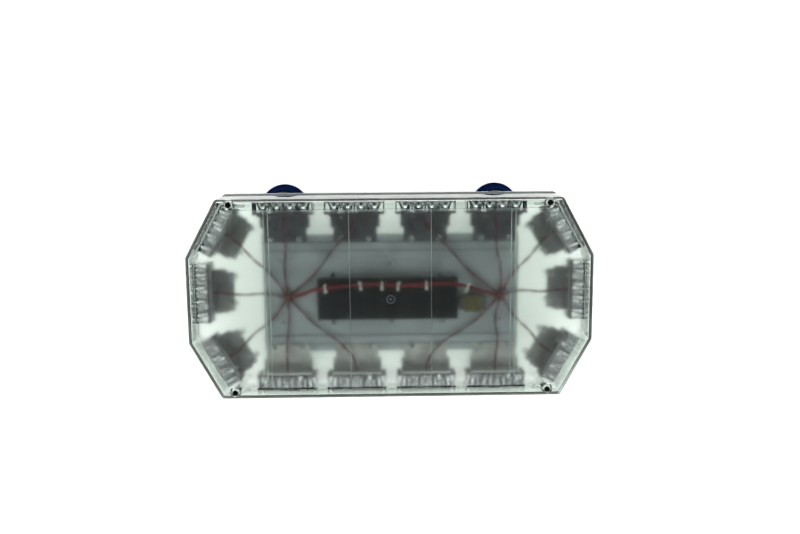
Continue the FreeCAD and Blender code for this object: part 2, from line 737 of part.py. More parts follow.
def bracket_template(kind, reach, neck, width):
    """An L bracket: an upright plate behind the board and a shouldered foot that points inward."""
    thick = "bracket_thick"
    middle = "module_middle - platform_top"
    low = f"{middle} - module_height / 2"
    plate = box(f"Upright_{kind}", width, thick, "module_height", "0", f"-{thick} / 2", low)
    foot = box(f"Foot_{kind}", neck, reach, thick, "0", f"-({reach}) / 2")
    shoulder = box(f"Shoulder_{kind}", width, "shoulder", thick, "0", "-shoulder / 2")
    solid = fuse(f"Angle_{kind}", [plate, foot, shoulder])
    through = f"{thick} + 2 * overrun"
    behind = f"-{thick} - overrun"
    tools = [rod(f"LeadHole_{kind}", "lead_hole", through, "0", behind, "lead_rise", "y")]
    for i, x in enumerate(("-foot_screw_x", "foot_screw_x")):
        y = f"foot_screw_in - ({reach})"
        tools.append(rod(f"FootHole_{kind}_{i}", "clear_radius", through, x, y, "-overrun"))
    for i, (x, z) in enumerate(lace_points(middle)):
        tools.append(rod(f"LaceHole_{kind}_{i}", "lace_radius + lace_slip", through, x, behind, z, "y"))
    return cut(f"Bracket_{kind}", solid, fuse(f"Holes_{kind}", tools))


def screw_template(name, radius, shank, head):
    """A pan head screw with a cross recess, shank down from the origin and head up."""
    stem = rod(f"{name}_stem", radius, shank, z=f"-({shank})")
    cap = rod(f"{name}_cap", head, "head_height")
    slots = [
        box(f"{name}_slot_a", f"{head}", "slot_width", "slot_depth", z="head_height - slot_depth"),
        box(f"{name}_slot_b", "slot_width", f"{head}", "slot_depth", z="head_height - slot_depth"),
    ]
    return cut(name, fuse(f"{name}_body", [stem, cap]), fuse(f"{name}_cross", slots))


def build_modules():
    for name, side, where in MODULES:
        length = "corner_length" if side == "corner" else "module_length"
        build_board(name, length, where)
        build_reflector(name, length, where)
    side_bracket = bracket_template("side", "side_reach", "side_neck", "side_width")
    end_bracket = bracket_template("end", "end_reach", "end_neck", "end_width")
    templates = {"rear": side_bracket, "front": side_bracket, "end": end_bracket, "corner": end_bracket}
    for side, template in templates.items():
        group_node(f"{side}_brackets", template, [where for _, own, where in MODULES if own == side])
    build_module_screws()


def build_module_screws():
    """Two screws through each reflector and board into the bracket."""
    template = screw_template("LaceScrew", "lace_radius", "lace_shank", "lace_head")
    seat = value("reflector_depth - lace_sink")
    middle = value("module_middle - platform_top")
    offsets = ((-value("lace_x"), value("lace_z")), (value("lace_x"), -value("lace_z")))
    forward = Rotation(Vector(1, 0, 0), -90)
    spots = []
    for _, _, where in MODULES:
        for x, z in offsets:
            spots.append(where.multiply(Placement(Vector(x, seat, middle + z), forward)))
    group_node("module_screws", template, spots)


# ---- screws --------------------------------------------------------------------------------------
def build_screws():
    cover_screw = screw_template("CoverScrew", "shank_radius", "long_shank", "head_radius")
    seat = value("top_level - recess_depth")
    places = [(sx * value("screw_x"), sy * value("screw_y")) for sx, sy in SIGNS]
    group_node("lens_screws", cover_screw, [spot(x, y, seat) for x, y in places])
    chassis_screw = screw_template("ChassisScrew", "shank_radius", "short_shank", "head_radius")
    top = value("platform_top")
    x, y = value("carrier_post_x"), value("carrier_post_y")
    spots = [spot(sx * x, sy * y, top) for sx in (-1, 0, 1) for sy in (-1, 1)]
    on_foot = top + value("bracket_thick")
    points = foot_screw_points(("rear", "front"), "side_reach")
    points += foot_screw_points(("end", "corner"), "end_reach")
    spots += [spot(point.x, point.y, on_foot) for point in points]
    group_node("chassis_screws", chassis_screw, spots)


# ---- driver --------------------------------------------------------------------------------------
def lug_places():
    """The driver case's four screw lugs, as pairs of formulas."""
    reach = "(case_width + lug_reach) / 2"
    return [(f"case_x {sx} lug_offset", f"case_y {sy} {reach}") for sx, sy in ("--", "+-", "++", "-+")]


def build_driver():
    x, y, level = "case_x", "case_y", "platform_top"
    shell = box("CaseShell", "case_length", "case_width", "case_height", x, y, level)
    lugs = [
        box(f"Lug_{i}", "lug_width", "lug_reach + overrun", "case_wall", lug_x, lug_y, level)
        for i, (lug_x, lug_y) in enumerate(lug_places())
    ]
    room = ("case_length - 2 * case_wall", "case_width - 2 * case_wall", "case_height - case_wall")
    inside = box("CaseInside", *room, x, y, level)
    holes = [
        rod(f"LugHole_{i}", "clear_radius", "case_wall", lug_x, lug_y, level)
        for i, (lug_x, lug_y) in enumerate(lug_places())
    ]
    case = cut("DriverCase", fuse("CaseSolid", [shell] + lugs), fuse("CaseHollow", [inside] + holes))
    node(case, "driver_case")
    around = "- 2 * case_wall - board_play"
    size = (f"case_length {around}", f"case_width {around}", "board_thick")
    node(box("DriverBoard", *size, x, y, f"{level} + driver_board_lift"), "driver_board")
    short = screw_template("LugScrew", "shank_radius", "case_wall", "head_radius")
    seat = value("platform_top + case_wall")
    spots = [spot(value(lug_x), value(lug_y), seat) for lug_x, lug_y in lug_places()]
    group_node("driver_screws", short, spots)
    build_choke()


def build_choke():
    """A choke whose tape-wrapped winding stands around a flat ferrite core."""
    size = ("choke_length", "choke_width", "choke_height")
    winding = box("Winding", *size, "choke_x", "choke_y", "platform_top")
    lift = "platform_top + (choke_height - core_height) / 2"
    window = box("Window", "choke_length", "core_width", "core_height", "choke_x", "choke_y", lift)
    core = box("Core", "core_length", "core_width", "core_height", "choke_x", "choke_y", lift)
    node(together("FilterChoke", [cut("WindingShell", winding, window), core]), "filter_choke")


# ---- wires ---------------------------------------------------------------------------------------
RUN_SHARE = 0.45
radii = []
lengths = []


def route_wire(points):
    """Straight runs joined by tangent arcs, along points given as vectors."""
    edges = []
    start = points[0]
    for before, corner, after in zip(points, points[1:], points[2:]):
        back = (before - corner).normalize()
        onward = (after - corner).normalize()
        turn = math.pi - back.getAngle(onward)
        setback = RUN_SHARE * min((before - corner).Length, (after - corner).Length)
        arc_radius = setback / math.tan(turn / 2)
        inward = (back + onward).normalize()
        centre = corner + inward * (arc_radius / math.cos(turn / 2))
        entry = corner + back * setback
        leave = corner + onward * setback
        edges.append(Part.LineSegment(start, entry).toShape())
        edges.append(Part.Arc(entry, centre - inward * arc_radius, leave).toShape())
        radii.append(arc_radius)
        start = leave
    edges.append(Part.LineSegment(start, points[-1]).toShape())
    return Part.Wire(edges)


def tube(points, radius):
    """A round tube along a route; its volume has to be its section times its length."""
    path = route_wire(points)
    section = Part.Wire([Part.Circle(points[0], points[1] - points[0], radius).toShape()])
    solid = path.makePipeShell([section], True, False)
    expected = math.pi * radius * radius * path.Length
    if abs(solid.Volume / expected - 1) > 0.01:
        raise RuntimeError(f"tube volume {solid.Volume:.1f}, expected {expected:.1f}")
    lengths.append(path.Length)
    return solid


def wire_node(label, tubes):
    item = doc.addObject("Part::Feature", label)
    item.Shape = Part.makeCompound(tubes)
    print(label, "lengths", [round(length) for length in lengths], "least radius", round(min(radii), 1))
    lengths.clear()
    radii.clear()
    return node(item, label)


def lead_points(hub, target, inward, sag):
    """A lead's route: out of the splice cap, over the carrier, and square into its bracket's lead hole."""
    near_share, near_lift = 0.36, 0.15
    far_share, far_lift, counter_sag = 0.7, 0.6, 0.4
    approach = target + inward * value("lead_approach")
    direction = Vector(approach.x - hub.x, approach.y - hub.y, 0)
    outward = Vector(direction).normalize()
    sideways = Vector(-outward.y, outward.x, 0)
    start = hub + outward * value("splice_radius - splice_depth")
    near = hub + direction * near_share + sideways * sag
    far = hub + direction * far_share - sideways * sag * counter_sag
    lift = target.z - hub.z
    near.z = hub.z + lift * near_lift
    far.z = hub.z + lift * far_lift
    return [start, near, far, approach, target]


SAGS = {"rear_1": 3, "rear_2": -5, "rear_3": 5, "rear_4": -3, "rear_left": -4, "rear_right": 4, "left": -3}
SAGS.update({"front_1": 2, "front_2": -4, "front_3": 6, "front_4": -5})
SAGS.update({"front_left": 5, "front_right": -3, "right": 4})


def build_leads():
    """The leads of the left half run to the left splice cap, and the others to the right one."""
    rise = value("lead_rise")
    z = value("platform_top + lead_level")
    halves = (("left", -1, value("left_splice_x")), ("right", 1, value("right_splice_x")))
    for label, sign, hub_x in halves:
        hub = Vector(hub_x, value("splice_y"), z)
        tubes = []
        for name, _, where in MODULES:
            if where.Base.x * sign < 0:
                continue
            target = where.multVec(Vector(0, 0, rise))
            inward = where.Rotation.multVec(Vector(0, -1, 0))
            tubes.append(tube(lead_points(hub, target, inward, SAGS[name]), value("lead_radius")))
        wire_node(f"{label}_leads", tubes)


def trunk_points():
    """The bundle between the two splice caps, up over the driver case and down again."""
    low = value("platform_top + trunk_level")
    high = value("platform_top + case_height + trunk_radius + trunk_lift")
    inside = value("splice_radius - splice_depth")
    hub_y = value("splice_y")
    left = value("left_splice_x") + inside
    right = value("right_splice_x") - inside
    return [
        Vector(left, hub_y + 0.5, low),
        Vector(left + 11, hub_y + 3.0, low + 2.5),
        Vector(left + 25, hub_y + 10.0, high),
        Vector(-56, 9.3, high + 0.5),
        Vector(-20, 11.0, high),
        Vector(16, 9.4, high + 0.4),
        Vector(50, 11.0, high),
        Vector(74, 8.6, high + 0.6),
        Vector(92, 2.5, low + 4),
        Vector(right, hub_y + 0.5, low),
    ]


def build_trunk():
    wire_node("trunk_harness", [tube(trunk_points(), value("trunk_radius"))])


TIES_X = (-66, -30, -9.5, 7.5, 37, 76)


def build_ties():
    """Cable ties round the bundle, with their locks on the front."""
    inner = "trunk_radius + tie_play"
    outer = f"{inner} + tie_band"
    lift = "-tie_width / 2"
    band = rod("TieBand", outer, "tie_width", z=lift)
    reach = f"-({inner}) - tie_lock_length / 2"
    size = ("tie_lock_height", "tie_lock_length", "tie_lock_width")
    lock = box("TieLock", *size, y=reach, z="-tie_lock_width / 2")
    template = cut("Tie", fuse("TieSolid", [band, lock]), rod("TieBore", inner, "tie_width", z=lift))
    path = route_wire(trunk_points())
    radii.clear()
    group_node("harness_ties", template, [place_on(path, x) for x in TIES_X])


def place_on(path, x):
    """A placement where a path that runs along X passes x, with its own Z along the path."""
    edge = next(e for e in path.Edges if e.Vertexes[0].X <= x <= e.Vertexes[-1].X)
    first, last = edge.ParameterRange
    for _ in range(40):
        middle = (first + last) / 2
        if edge.valueAt(middle).x < x:
            first = middle
        else:
            last = middle
    return Placement(edge.valueAt(first), Rotation(Vector(0, 0, 1), edge.tangentAt(first)))


def build_splices():
    caps = [
        rod(f"Splice_{x}", "splice_radius", "splice_height", x, "splice_y", "platform_top + splice_gap")
        for x in ("left_splice_x", "right_splice_x")
    ]
    node(together("LeadSplices", caps), "lead_splices")


# ---- floor fittings ------------------------------------------------------------------------------
def build_grommet():
    """A rubber grommet in the floor whose bore is closed by a membrane until a cable is pushed through."""
    x, y = "grommet_x", "grommet_y"
    waist = rod("GrommetWaist", "grommet_hole", "wall", x, y, "tray_level")
    outside = rod("GrommetOutside", "grommet_flange", "grommet_lip", x, y, "tray_level - grommet_lip")
    inside = rod("GrommetInside", "grommet_flange", "grommet_lip", x, y, "tray_level + wall")
    deep = "wall + grommet_lip + overrun"
    bore = rod("GrommetBore", "grommet_bore", deep, x, y, "tray_level - grommet_lip")
    node(cut("Grommet", fuse("GrommetSolid", [waist, outside, inside]), bore), "cable_grommet")


def build_vent():
    x, y = "vent_x", "grommet_y"
    stem = rod("VentStem", "vent_hole", "wall", x, y, "tray_level")
    head = rod("VentHead", "vent_flange", "grommet_lip", x, y, "tray_level - grommet_lip")
    clip = rod("VentClip", "vent_hole + vent_catch", "grommet_lip", x, y, "tray_level + wall")
    node(fuse("VentPlug", [stem, head, clip]), "vent_plug")


# ---- feet ----------------------------------------------------------------------------------------
def stud_template():
    """A ball stud: ball, neck, collar under the floor and thread through it."""
    sphere = ball("StudBall", "ball_radius", "ball_level")
    neck = rod("StudNeck", "neck_radius", "collar_level - ball_level", z="ball_level")
    collar = rod("StudCollar", "stud_collar", "tray_level - collar_level", z="collar_level")
    thread = rod("StudThread", "stud_radius", "stud_top - tray_level", z="tray_level")
    return fuse("Stud", [sphere, neck, collar, thread])


def nut_template():
    """A washer and a hexagon nut on the floor's inside."""
    floor = "tray_level + wall"
    washer = cut(
        "Washer",
        rod("WasherDisc", "washer_radius", "washer_thick", z=floor),
        rod("WasherHole", "stud_hole", "washer_thick", z=floor),
    )
    hexagon = doc.addObject("Part::Prism", "Hexagon")
    hexagon.Polygon = 6
    bind(hexagon, Circumradius="nut_flats / sqrt(3)", Height="nut_height")
    place(hexagon, z=f"{floor} + washer_thick")
    hole = rod("NutHole", "stud_radius + nut_slip", "nut_height", z=f"{floor} + washer_thick")
    nut = cut("Nut", hexagon, hole)
    return together("StudFastening", [washer, nut])


def build_suction_cup(name, where):
    """A rubber cup that grips the magnet pot; its lip touches the surface."""
    body = new_body(f"SuctionCup_{name}")
    section = [
        ("lip_radius - lip_band", "0"),
        ("lip_radius", "0"),
        ("lip_radius", "lip_height"),
        ("collar_radius + skirt_swell", "pot_top / 2"),
        ("collar_radius", "pot_top - collar_height"),
        ("collar_radius", "pot_top"),
        ("pot_radius", "pot_top"),
        ("pot_radius", "cavity_height"),
        ("collar_radius + lip_band", "cavity_height"),
    ]
    sketch = polygon_sketch(body, f"cup_section_{name}", section, plane="XZ_Plane")
    revolve(body, "Revolution", sketch)
    body.Placement = where
    node(body, f"suction_cup_{name}")


def build_foot_magnet(name, where):
    """A steel pot with the socket boss on top and the magnet pressed in from below."""
    pot = rod(f"Pot_{name}", "pot_radius", "pot_top - pot_bottom", z="pot_bottom")
    boss = rod(f"Boss_{name}", "socket_radius", "socket_top - pot_top", z="pot_top")
    seat = rod(f"Seat_{name}", "magnet_radius", "magnet_top - pot_bottom", z="pot_bottom")
    socket = ball(f"Socket_{name}", "ball_radius + ball_play", "ball_level")
    hollow = fuse(f"PotHollow_{name}", [seat, socket])
    steel = cut(f"Steel_{name}", fuse(f"PotSolid_{name}", [pot, boss]), hollow)
    magnet = rod(f"Magnet_{name}", "magnet_radius", "magnet_top - pot_bottom", z="pot_bottom")
    item = together(f"FootMagnet_{name}", [steel, magnet])
    item.Placement = where
    node(item, f"foot_magnet_{name}")


def build_feet():
    x, y = value("foot_x"), value("foot_y")
    spots = [spot(sx * x, sy * y, 0) for sx, sy in SIGNS]
    group_node("ball_studs", stud_template(), spots)
    group_node("stud_nuts", nut_template(), spots)
    for (sx, sy), where in zip(SIGNS, spots):
        name = f"{'front' if sy < 0 else 'rear'}_{'left' if sx < 0 else 'right'}"
        build_suction_cup(name, where)
        build_foot_magnet(name, where)


# ---- build, check, write -------------------------------------------------------------------------
def check_document():
    doc.recompute()
    for item in doc.Objects:
        if "Invalid" in item.State or "Error" in item.State:
            raise RuntimeError(f"{item.Name} failed: {item.State}")
    for item in nodes:
        shape = item.Shape
        if shape.isNull() or not shape.isValid() or shape.Volume <= 0:
            raise RuntimeError(f"{item.Label} has no valid solid")


build_tray()
build_gasket()
build_cover()
build_carrier()
build_modules()
build_screws()
build_driver()
build_splices()
build_trunk()
build_ties()
build_leads()
build_grommet()
build_vent()
build_feet()
check_document()
for item in nodes:
    item.Shape.exportStep(f"parts/{item.Label}.step")
print(len(nodes), "sub-parts written")
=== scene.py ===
"""Looks of the LED warning light bar, round its CAD frame. Metres; +X along the bar, +Y rear, +Z up."""

import math
import random

import bmesh
import bpy
from mathutils import Matrix, Vector


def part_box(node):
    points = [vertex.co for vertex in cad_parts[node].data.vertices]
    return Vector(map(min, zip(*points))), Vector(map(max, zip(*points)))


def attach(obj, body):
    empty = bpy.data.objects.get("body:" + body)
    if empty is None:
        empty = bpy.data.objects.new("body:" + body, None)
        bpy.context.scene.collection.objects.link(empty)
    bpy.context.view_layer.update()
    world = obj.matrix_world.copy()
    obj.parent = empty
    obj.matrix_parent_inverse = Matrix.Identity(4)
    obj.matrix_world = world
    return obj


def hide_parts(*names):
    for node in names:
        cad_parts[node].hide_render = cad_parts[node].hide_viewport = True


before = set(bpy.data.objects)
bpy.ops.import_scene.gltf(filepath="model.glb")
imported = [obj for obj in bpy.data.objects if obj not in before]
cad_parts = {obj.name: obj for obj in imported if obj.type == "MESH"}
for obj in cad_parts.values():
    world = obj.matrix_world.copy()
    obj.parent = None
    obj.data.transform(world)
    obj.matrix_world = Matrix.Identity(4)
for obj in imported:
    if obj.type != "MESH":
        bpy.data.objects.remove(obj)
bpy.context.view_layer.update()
MM = 0.001
AXIS = 0.0001 * MM
UP = Vector((0, 0, 1))
STILL = Matrix.Identity(4)
Z_TO_Y = Matrix.Rotation(math.radians(-90), 4, "X")
SIGNS = ((-1, -1), (1, -1), (1, 1), (-1, 1))
random.seed(7)


# ---- the frame's own measures
def outline_at(node, level):
    """Half length, half width and the two corner cuts of a node's outline at a level."""
    points = [v.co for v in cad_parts[node].data.vertices if abs(v.co.z - level) < 0.02 * MM]
    half_x = max(p.x for p in points)
    half_y = max(p.y for p in points)
    cut_y = half_y - max(p.y for p in points if p.x > half_x - 0.1 * MM)
    cut_x = half_x - max(p.x for p in points if p.y > half_y - 0.1 * MM)
    return half_x, half_y, cut_x, cut_y


def middle_of(node):
    low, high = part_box(node)
    return (low + high) / 2


COVER_LOW, COVER_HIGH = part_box("lens_cover")
TRAY_LOW, TRAY_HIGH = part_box("base_tray")
SCREW_LOW, SCREW_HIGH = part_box("lens_screws")
CASE_LOW, CASE_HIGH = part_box("driver_case")
SPLICE_LOW, SPLICE_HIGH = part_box("lead_splices")
STUD_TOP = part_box("ball_studs")[1]
TOP = outline_at("lens_cover", COVER_HIGH.z)
FOOT = outline_at("base_tray", TRAY_LOW.z)
FLARE = (FOOT[0] - TOP[0]) / (COVER_HIGH.z - TRAY_LOW.z)
WALL = 2.5 * MM
BEAD, BEAD_DEPTH = 1.2 * MM, 2.5 * MM
TRAY_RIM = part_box("lens_gasket")[0].z
TRAY_FLOOR = TRAY_LOW.z + WALL
PANEL_INSET, PANEL_STEP = 10 * MM, 0.4 * MM
RIDGE_RISE = 1.2 * MM
RIDGE_INNER, RIDGE_OUTER = 44.0 * MM, 52.8 * MM
PLATFORM_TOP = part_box("heatsink_platform")[1].z - RIDGE_RISE
PLATFORM_THICK = 4 * MM
CARRIER_POST_X, CARRIER_POST_Y = 112 * MM, 30 * MM
CARRIER_POST, COVER_POST, BRACKET_POST = 4.5 * MM, 3.3 * MM, 2.9 * MM
THREAD_RADIUS, THREAD_DEPTH = 1.55 * MM, 10 * MM
HEAD_RADIUS, HEAD_RISE = 2.8 * MM, 2 * MM
SCREW_X, SCREW_Y = SCREW_HIGH.x - HEAD_RADIUS, SCREW_HIGH.y - HEAD_RADIUS
BRACKET_THICK = 2 * MM
BRACKET_SCREW_X = 14 * MM
CORNER_SCREW_Y, SIDE_SCREW_Y = -17.5 * MM, -25 * MM
CASE_WALL = 1.8 * MM
LUG_REACH, LUG_WIDTH, LUG_OFFSET = 7 * MM, 9 * MM, 55 * MM
SPLICE_RADIUS = (SPLICE_HIGH.y - SPLICE_LOW.y) / 2
SPLICE_INSIDE = 3.5 * MM
BALL_RADIUS, BALL_LEVEL, SOCKET_RADIUS = 5 * MM, 11.5 * MM, 5.08 * MM
FOOT_X, FOOT_Y = STUD_TOP.x - BALL_RADIUS, STUD_TOP.y - BALL_RADIUS
FOOT_PLACES = [Matrix.Translation((sx * FOOT_X, sy * FOOT_Y, 0)) for sx, sy in SIGNS]


def lean(level):
    """How far the outer wall stands outside the top outline at a level."""
    return FLARE * (COVER_HIGH.z - level)


# ---- objects and meshes
def new_object(name, mesh):
    item = bpy.data.objects.new(name, mesh)
    bpy.context.scene.collection.objects.link(item)
    return item


def paint(item, *materials):
    """Give an object its materials in slot order."""
    for i, material in enumerate(materials):
        if i < len(item.material_slots):
            item.material_slots[i].material = material
        else:
            item.data.materials.append(material)
    return item


def add_piece(name, mesh, slot, *materials, node=None, body="light_bar", place=STILL):
    """A visible piece that rides on its body, and the CAD node that it stands for."""
    item = new_object(name, mesh)
    item.matrix_world = place
    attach(item, body)
    paint(item, *materials)
    if node:
        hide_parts(node)


def carry(node, material, bevel=0.2 * MM):
    """A CAD node whose shape is right: soften its edges and give it its material."""
    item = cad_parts[node]
    if bevel:
        edge = item.modifiers.new("edges", "BEVEL")
        edge.width = bevel
        edge.segments = 2
        edge.limit_method = "ANGLE"
    paint(item, material)


def mesh_from(name, vertices, faces, smooth=None):
    """A mesh; with smooth in degrees, edges flatter than that are shaded smooth."""
    mesh = bpy.data.meshes.new(name)
    mesh.from_pydata([tuple(v) for v in vertices], [], faces)
    mesh.validate()
    tidy_mesh(mesh, smooth)
    return mesh


def tidy_mesh(mesh, smooth=None):
    """Outward normals, and sharp edges where the surface turns more than the given angle."""
    work = bmesh.new()
    work.from_mesh(mesh)
    bmesh.ops.remove_doubles(work, verts=work.verts, dist=1e-6)
    bmesh.ops.recalc_face_normals(work, faces=work.faces)
    if smooth is not None:
        limit = math.radians(smooth)
        for face in work.faces:
            face.smooth = True
        for edge in work.edges:
            edge.smooth = len(edge.link_faces) == 2 and edge.calc_face_angle(0) < limit
    work.to_mesh(mesh)
    work.free()
    mesh.update()


def join_meshes(name, parts, smooth=30):
    """One mesh from (mesh, matrix, material index) parts; None keeps a mesh's own indices."""
    work = bmesh.new()
    for mesh, matrix, index in parts:
        start = len(work.faces)
        work.from_mesh(mesh)
        work.faces.ensure_lookup_table()
        moved = {v for face in work.faces[start:] for v in face.verts}
        bmesh.ops.transform(work, matrix=matrix, verts=list(moved))
        if index is not None:
            for face in work.faces[start:]:
                face.material_index = index
    mesh = bpy.data.meshes.new(name)
    work.to_mesh(mesh)
    work.free()
    tidy_mesh(mesh, smooth)
    return mesh


def gather(name, meshes, smooth=30):
    """One mesh of one material from meshes that are in place."""
    return join_meshes(name, [(mesh, STILL, 0) for mesh in meshes], smooth)


def rings_mesh(name, rings, loop=False, smooth=30):
    """A skin over rings of equal point counts, capped at its ends or closed into a loop."""
    count = len(rings[0])
    vertices = [point for ring in rings for point in ring]
    faces = []
    for r in range(len(rings) if loop else len(rings) - 1):
        low, high = r * count, ((r + 1) % len(rings)) * count
        for i in range(count):
            j = (i + 1) % count
            faces.append((low + i, low + j, high + j, high + i))
    if not loop:
        faces.append(tuple(reversed(range(count))))
        faces.append(tuple(range((len(rings) - 1) * count, len(rings) * count)))
    return mesh_from(name, vertices, faces, smooth)


def lathe(name, profile, segments=48, smooth=32, loop=False):
    """A turned mesh about Z from (radius, z) points; points on the axis close it."""
    angles = [2 * math.pi * i / segments for i in range(segments)]
    rings = [[Vector((r * math.cos(a), r * math.sin(a), z)) for a in angles] for r, z in profile]
    return rings_mesh(name, rings, loop=loop, smooth=smooth)


def drum(x, y, profile, segments=28):
    """A turned tool at (x, y) from (radius, z) points."""
    mesh = lathe("drum", profile, segments)
    mesh.transform(Matrix.Translation((x, y, 0)))
    return mesh


def in_mm(points, rise=0.0):
    """Points given in millimetres, lifted by a rise in metres."""
    return [(r * MM, rise + z * MM) for r, z in points]


def bend(start, corner, end, steps):
    """Points of a soft bend from start to end that leans towards the corner."""
    shares = [i / steps for i in range(steps + 1)]
    return [start * (1 - t) ** 2 + corner * 2 * t * (1 - t) + end * t * t for t in shares]


def rounded_profile(points, radius, steps=4):
    """A (radius, z) profile whose inner corners are rounded."""
    out = [points[0]]
    for before, corner, after in zip(points, points[1:], points[2:]):
        b, c, a = Vector(before), Vector(corner), Vector(after)
        reach = min(radius, (b - c).length * 0.45, (a - c).length * 0.45)
        start, end = c + (b - c).normalized() * reach, c + (a - c).normalized() * reach
        out += [(p.x, p.y) for p in bend(start, c, end, steps)]
    return out + [points[-1]]


def rounded_box(name, size, radius, centre=(0, 0, 0), steps=3):
    """A box with rounded edges, by bevelling."""
    work = bmesh.new()
    bmesh.ops.create_cube(work, size=1.0)
    bmesh.ops.scale(work, vec=size, verts=work.verts)
    edges = list(work.edges)
    settings = {"segments": steps, "profile": 0.5, "affect": "EDGES", "clamp_overlap": True}
    bmesh.ops.bevel(work, geom=edges, offset=radius, **settings)
    bmesh.ops.translate(work, vec=centre, verts=work.verts)
    mesh = bpy.data.meshes.new(name)
    work.to_mesh(mesh)
    work.free()
    tidy_mesh(mesh, 50)
    return mesh


def octagon(offset, z, radius=2 * MM, steps=5):
    """The top outline moved outward by an offset, its corners rounded, as a ring at height z."""
    half_x, half_y, cut_x, cut_y = TOP
    span = math.hypot(cut_x, cut_y)
    grown_x = cut_x + offset * (1 - (span - cut_x) / cut_y)
    grown_y = cut_y + offset * (1 - (span - cut_y) / cut_x)
    reach_x, reach_y = half_x + offset, half_y + offset
    quarter = [(reach_x, reach_y - grown_y), (reach_x - grown_x, reach_y)]
    corners = quarter + [(-x, y) for x, y in reversed(quarter)]
    corners += [(-x, -y) for x, y in quarter] + [(x, -y) for x, y in reversed(quarter)]
    ring = []
    for i, corner in enumerate(corners):
        c = Vector(corner)
        before = (Vector(corners[i - 1]) - c).normalized()
        after = (Vector(corners[(i + 1) % len(corners)]) - c).normalized()
        setback = radius / math.tan(before.angle(after) / 2)
        turn = bend(c + before * setback, c, c + after * setback, steps)
        ring += [Vector((p.x, p.y, z)) for p in turn]
    return ring


def boolean(base, tool, operation):
    """base's mesh after a boolean with a tool mesh; both stay in the row frame."""
    first = bpy.data.objects.new("work_base", base)
    second = bpy.data.objects.new("work_tool", tool)
    for item in (first, second):
        bpy.context.scene.collection.objects.link(item)
    step = first.modifiers.new("step", "BOOLEAN")
    step.operation = operation
    step.solver = "EXACT"
    step.object = second
    bpy.context.view_layer.update()
    evaluated = first.evaluated_get(bpy.context.evaluated_depsgraph_get())
    result = bpy.data.meshes.new_from_object(evaluated)
    bpy.data.objects.remove(first)
    bpy.data.objects.remove(second)
    return result


def cut(base, tool):
    return boolean(base, tool, "DIFFERENCE")


def fuse(base, tool):
    return boolean(base, tool, "UNION")


def route_line(points, steps=10):
    """Points read from the smooth NURBS line of a route."""
    curve = bpy.data.curves.new("route", "CURVE")
    curve.dimensions = "3D"
    curve.resolution_u = steps
    spline = curve.splines.new("NURBS")
    spline.points.add(len(points) - 1)
    for point, place in zip(spline.points, points):
        point.co = (*place, 1.0)
    spline.order_u = 3
    spline.use_endpoint_u = True
    item = bpy.data.objects.new("route", curve)
    mesh = bpy.data.meshes.new_from_object(item)
    line = [v.co.copy() for v in mesh.vertices]
    bpy.data.objects.remove(item)
    bpy.data.curves.remove(curve)
    bpy.data.meshes.remove(mesh)
    return line


def directions(line):
    """At each point of a line: the way ahead, a level side and the third axis."""
    frames = []
    for i in range(len(line)):
        ahead = (line[min(i + 1, len(line) - 1)] - line[max(i - 1, 0)]).normalized()
        side = ahead.cross(UP).normalized()
        frames.append((ahead, side, side.cross(ahead)))
    return frames


def beside(point, axes, angle, reach):
    """A point moved off its line at an angle about the line's own axes."""
    _, side, rise = axes
    return point + (side * math.cos(angle) + rise * math.sin(angle)) * reach


def tube_mesh(name, line, radius, sides=8):
    """A round tube with closed ends along a line."""
    turns = [2 * math.pi * k / sides for k in range(sides)]
    rings = [[beside(p, axes, a, radius) for a in turns] for p, axes in zip(line, directions(line))]
    return rings_mesh(name, rings, smooth=60)


# ---- materials
def set_ramp(ramp, *stops):
    """Positions and colours of a ramp's two ends."""
    for element, (position, colour) in zip(ramp.color_ramp.elements, stops):
        element.position = position
        element.color = (*colour, 1)


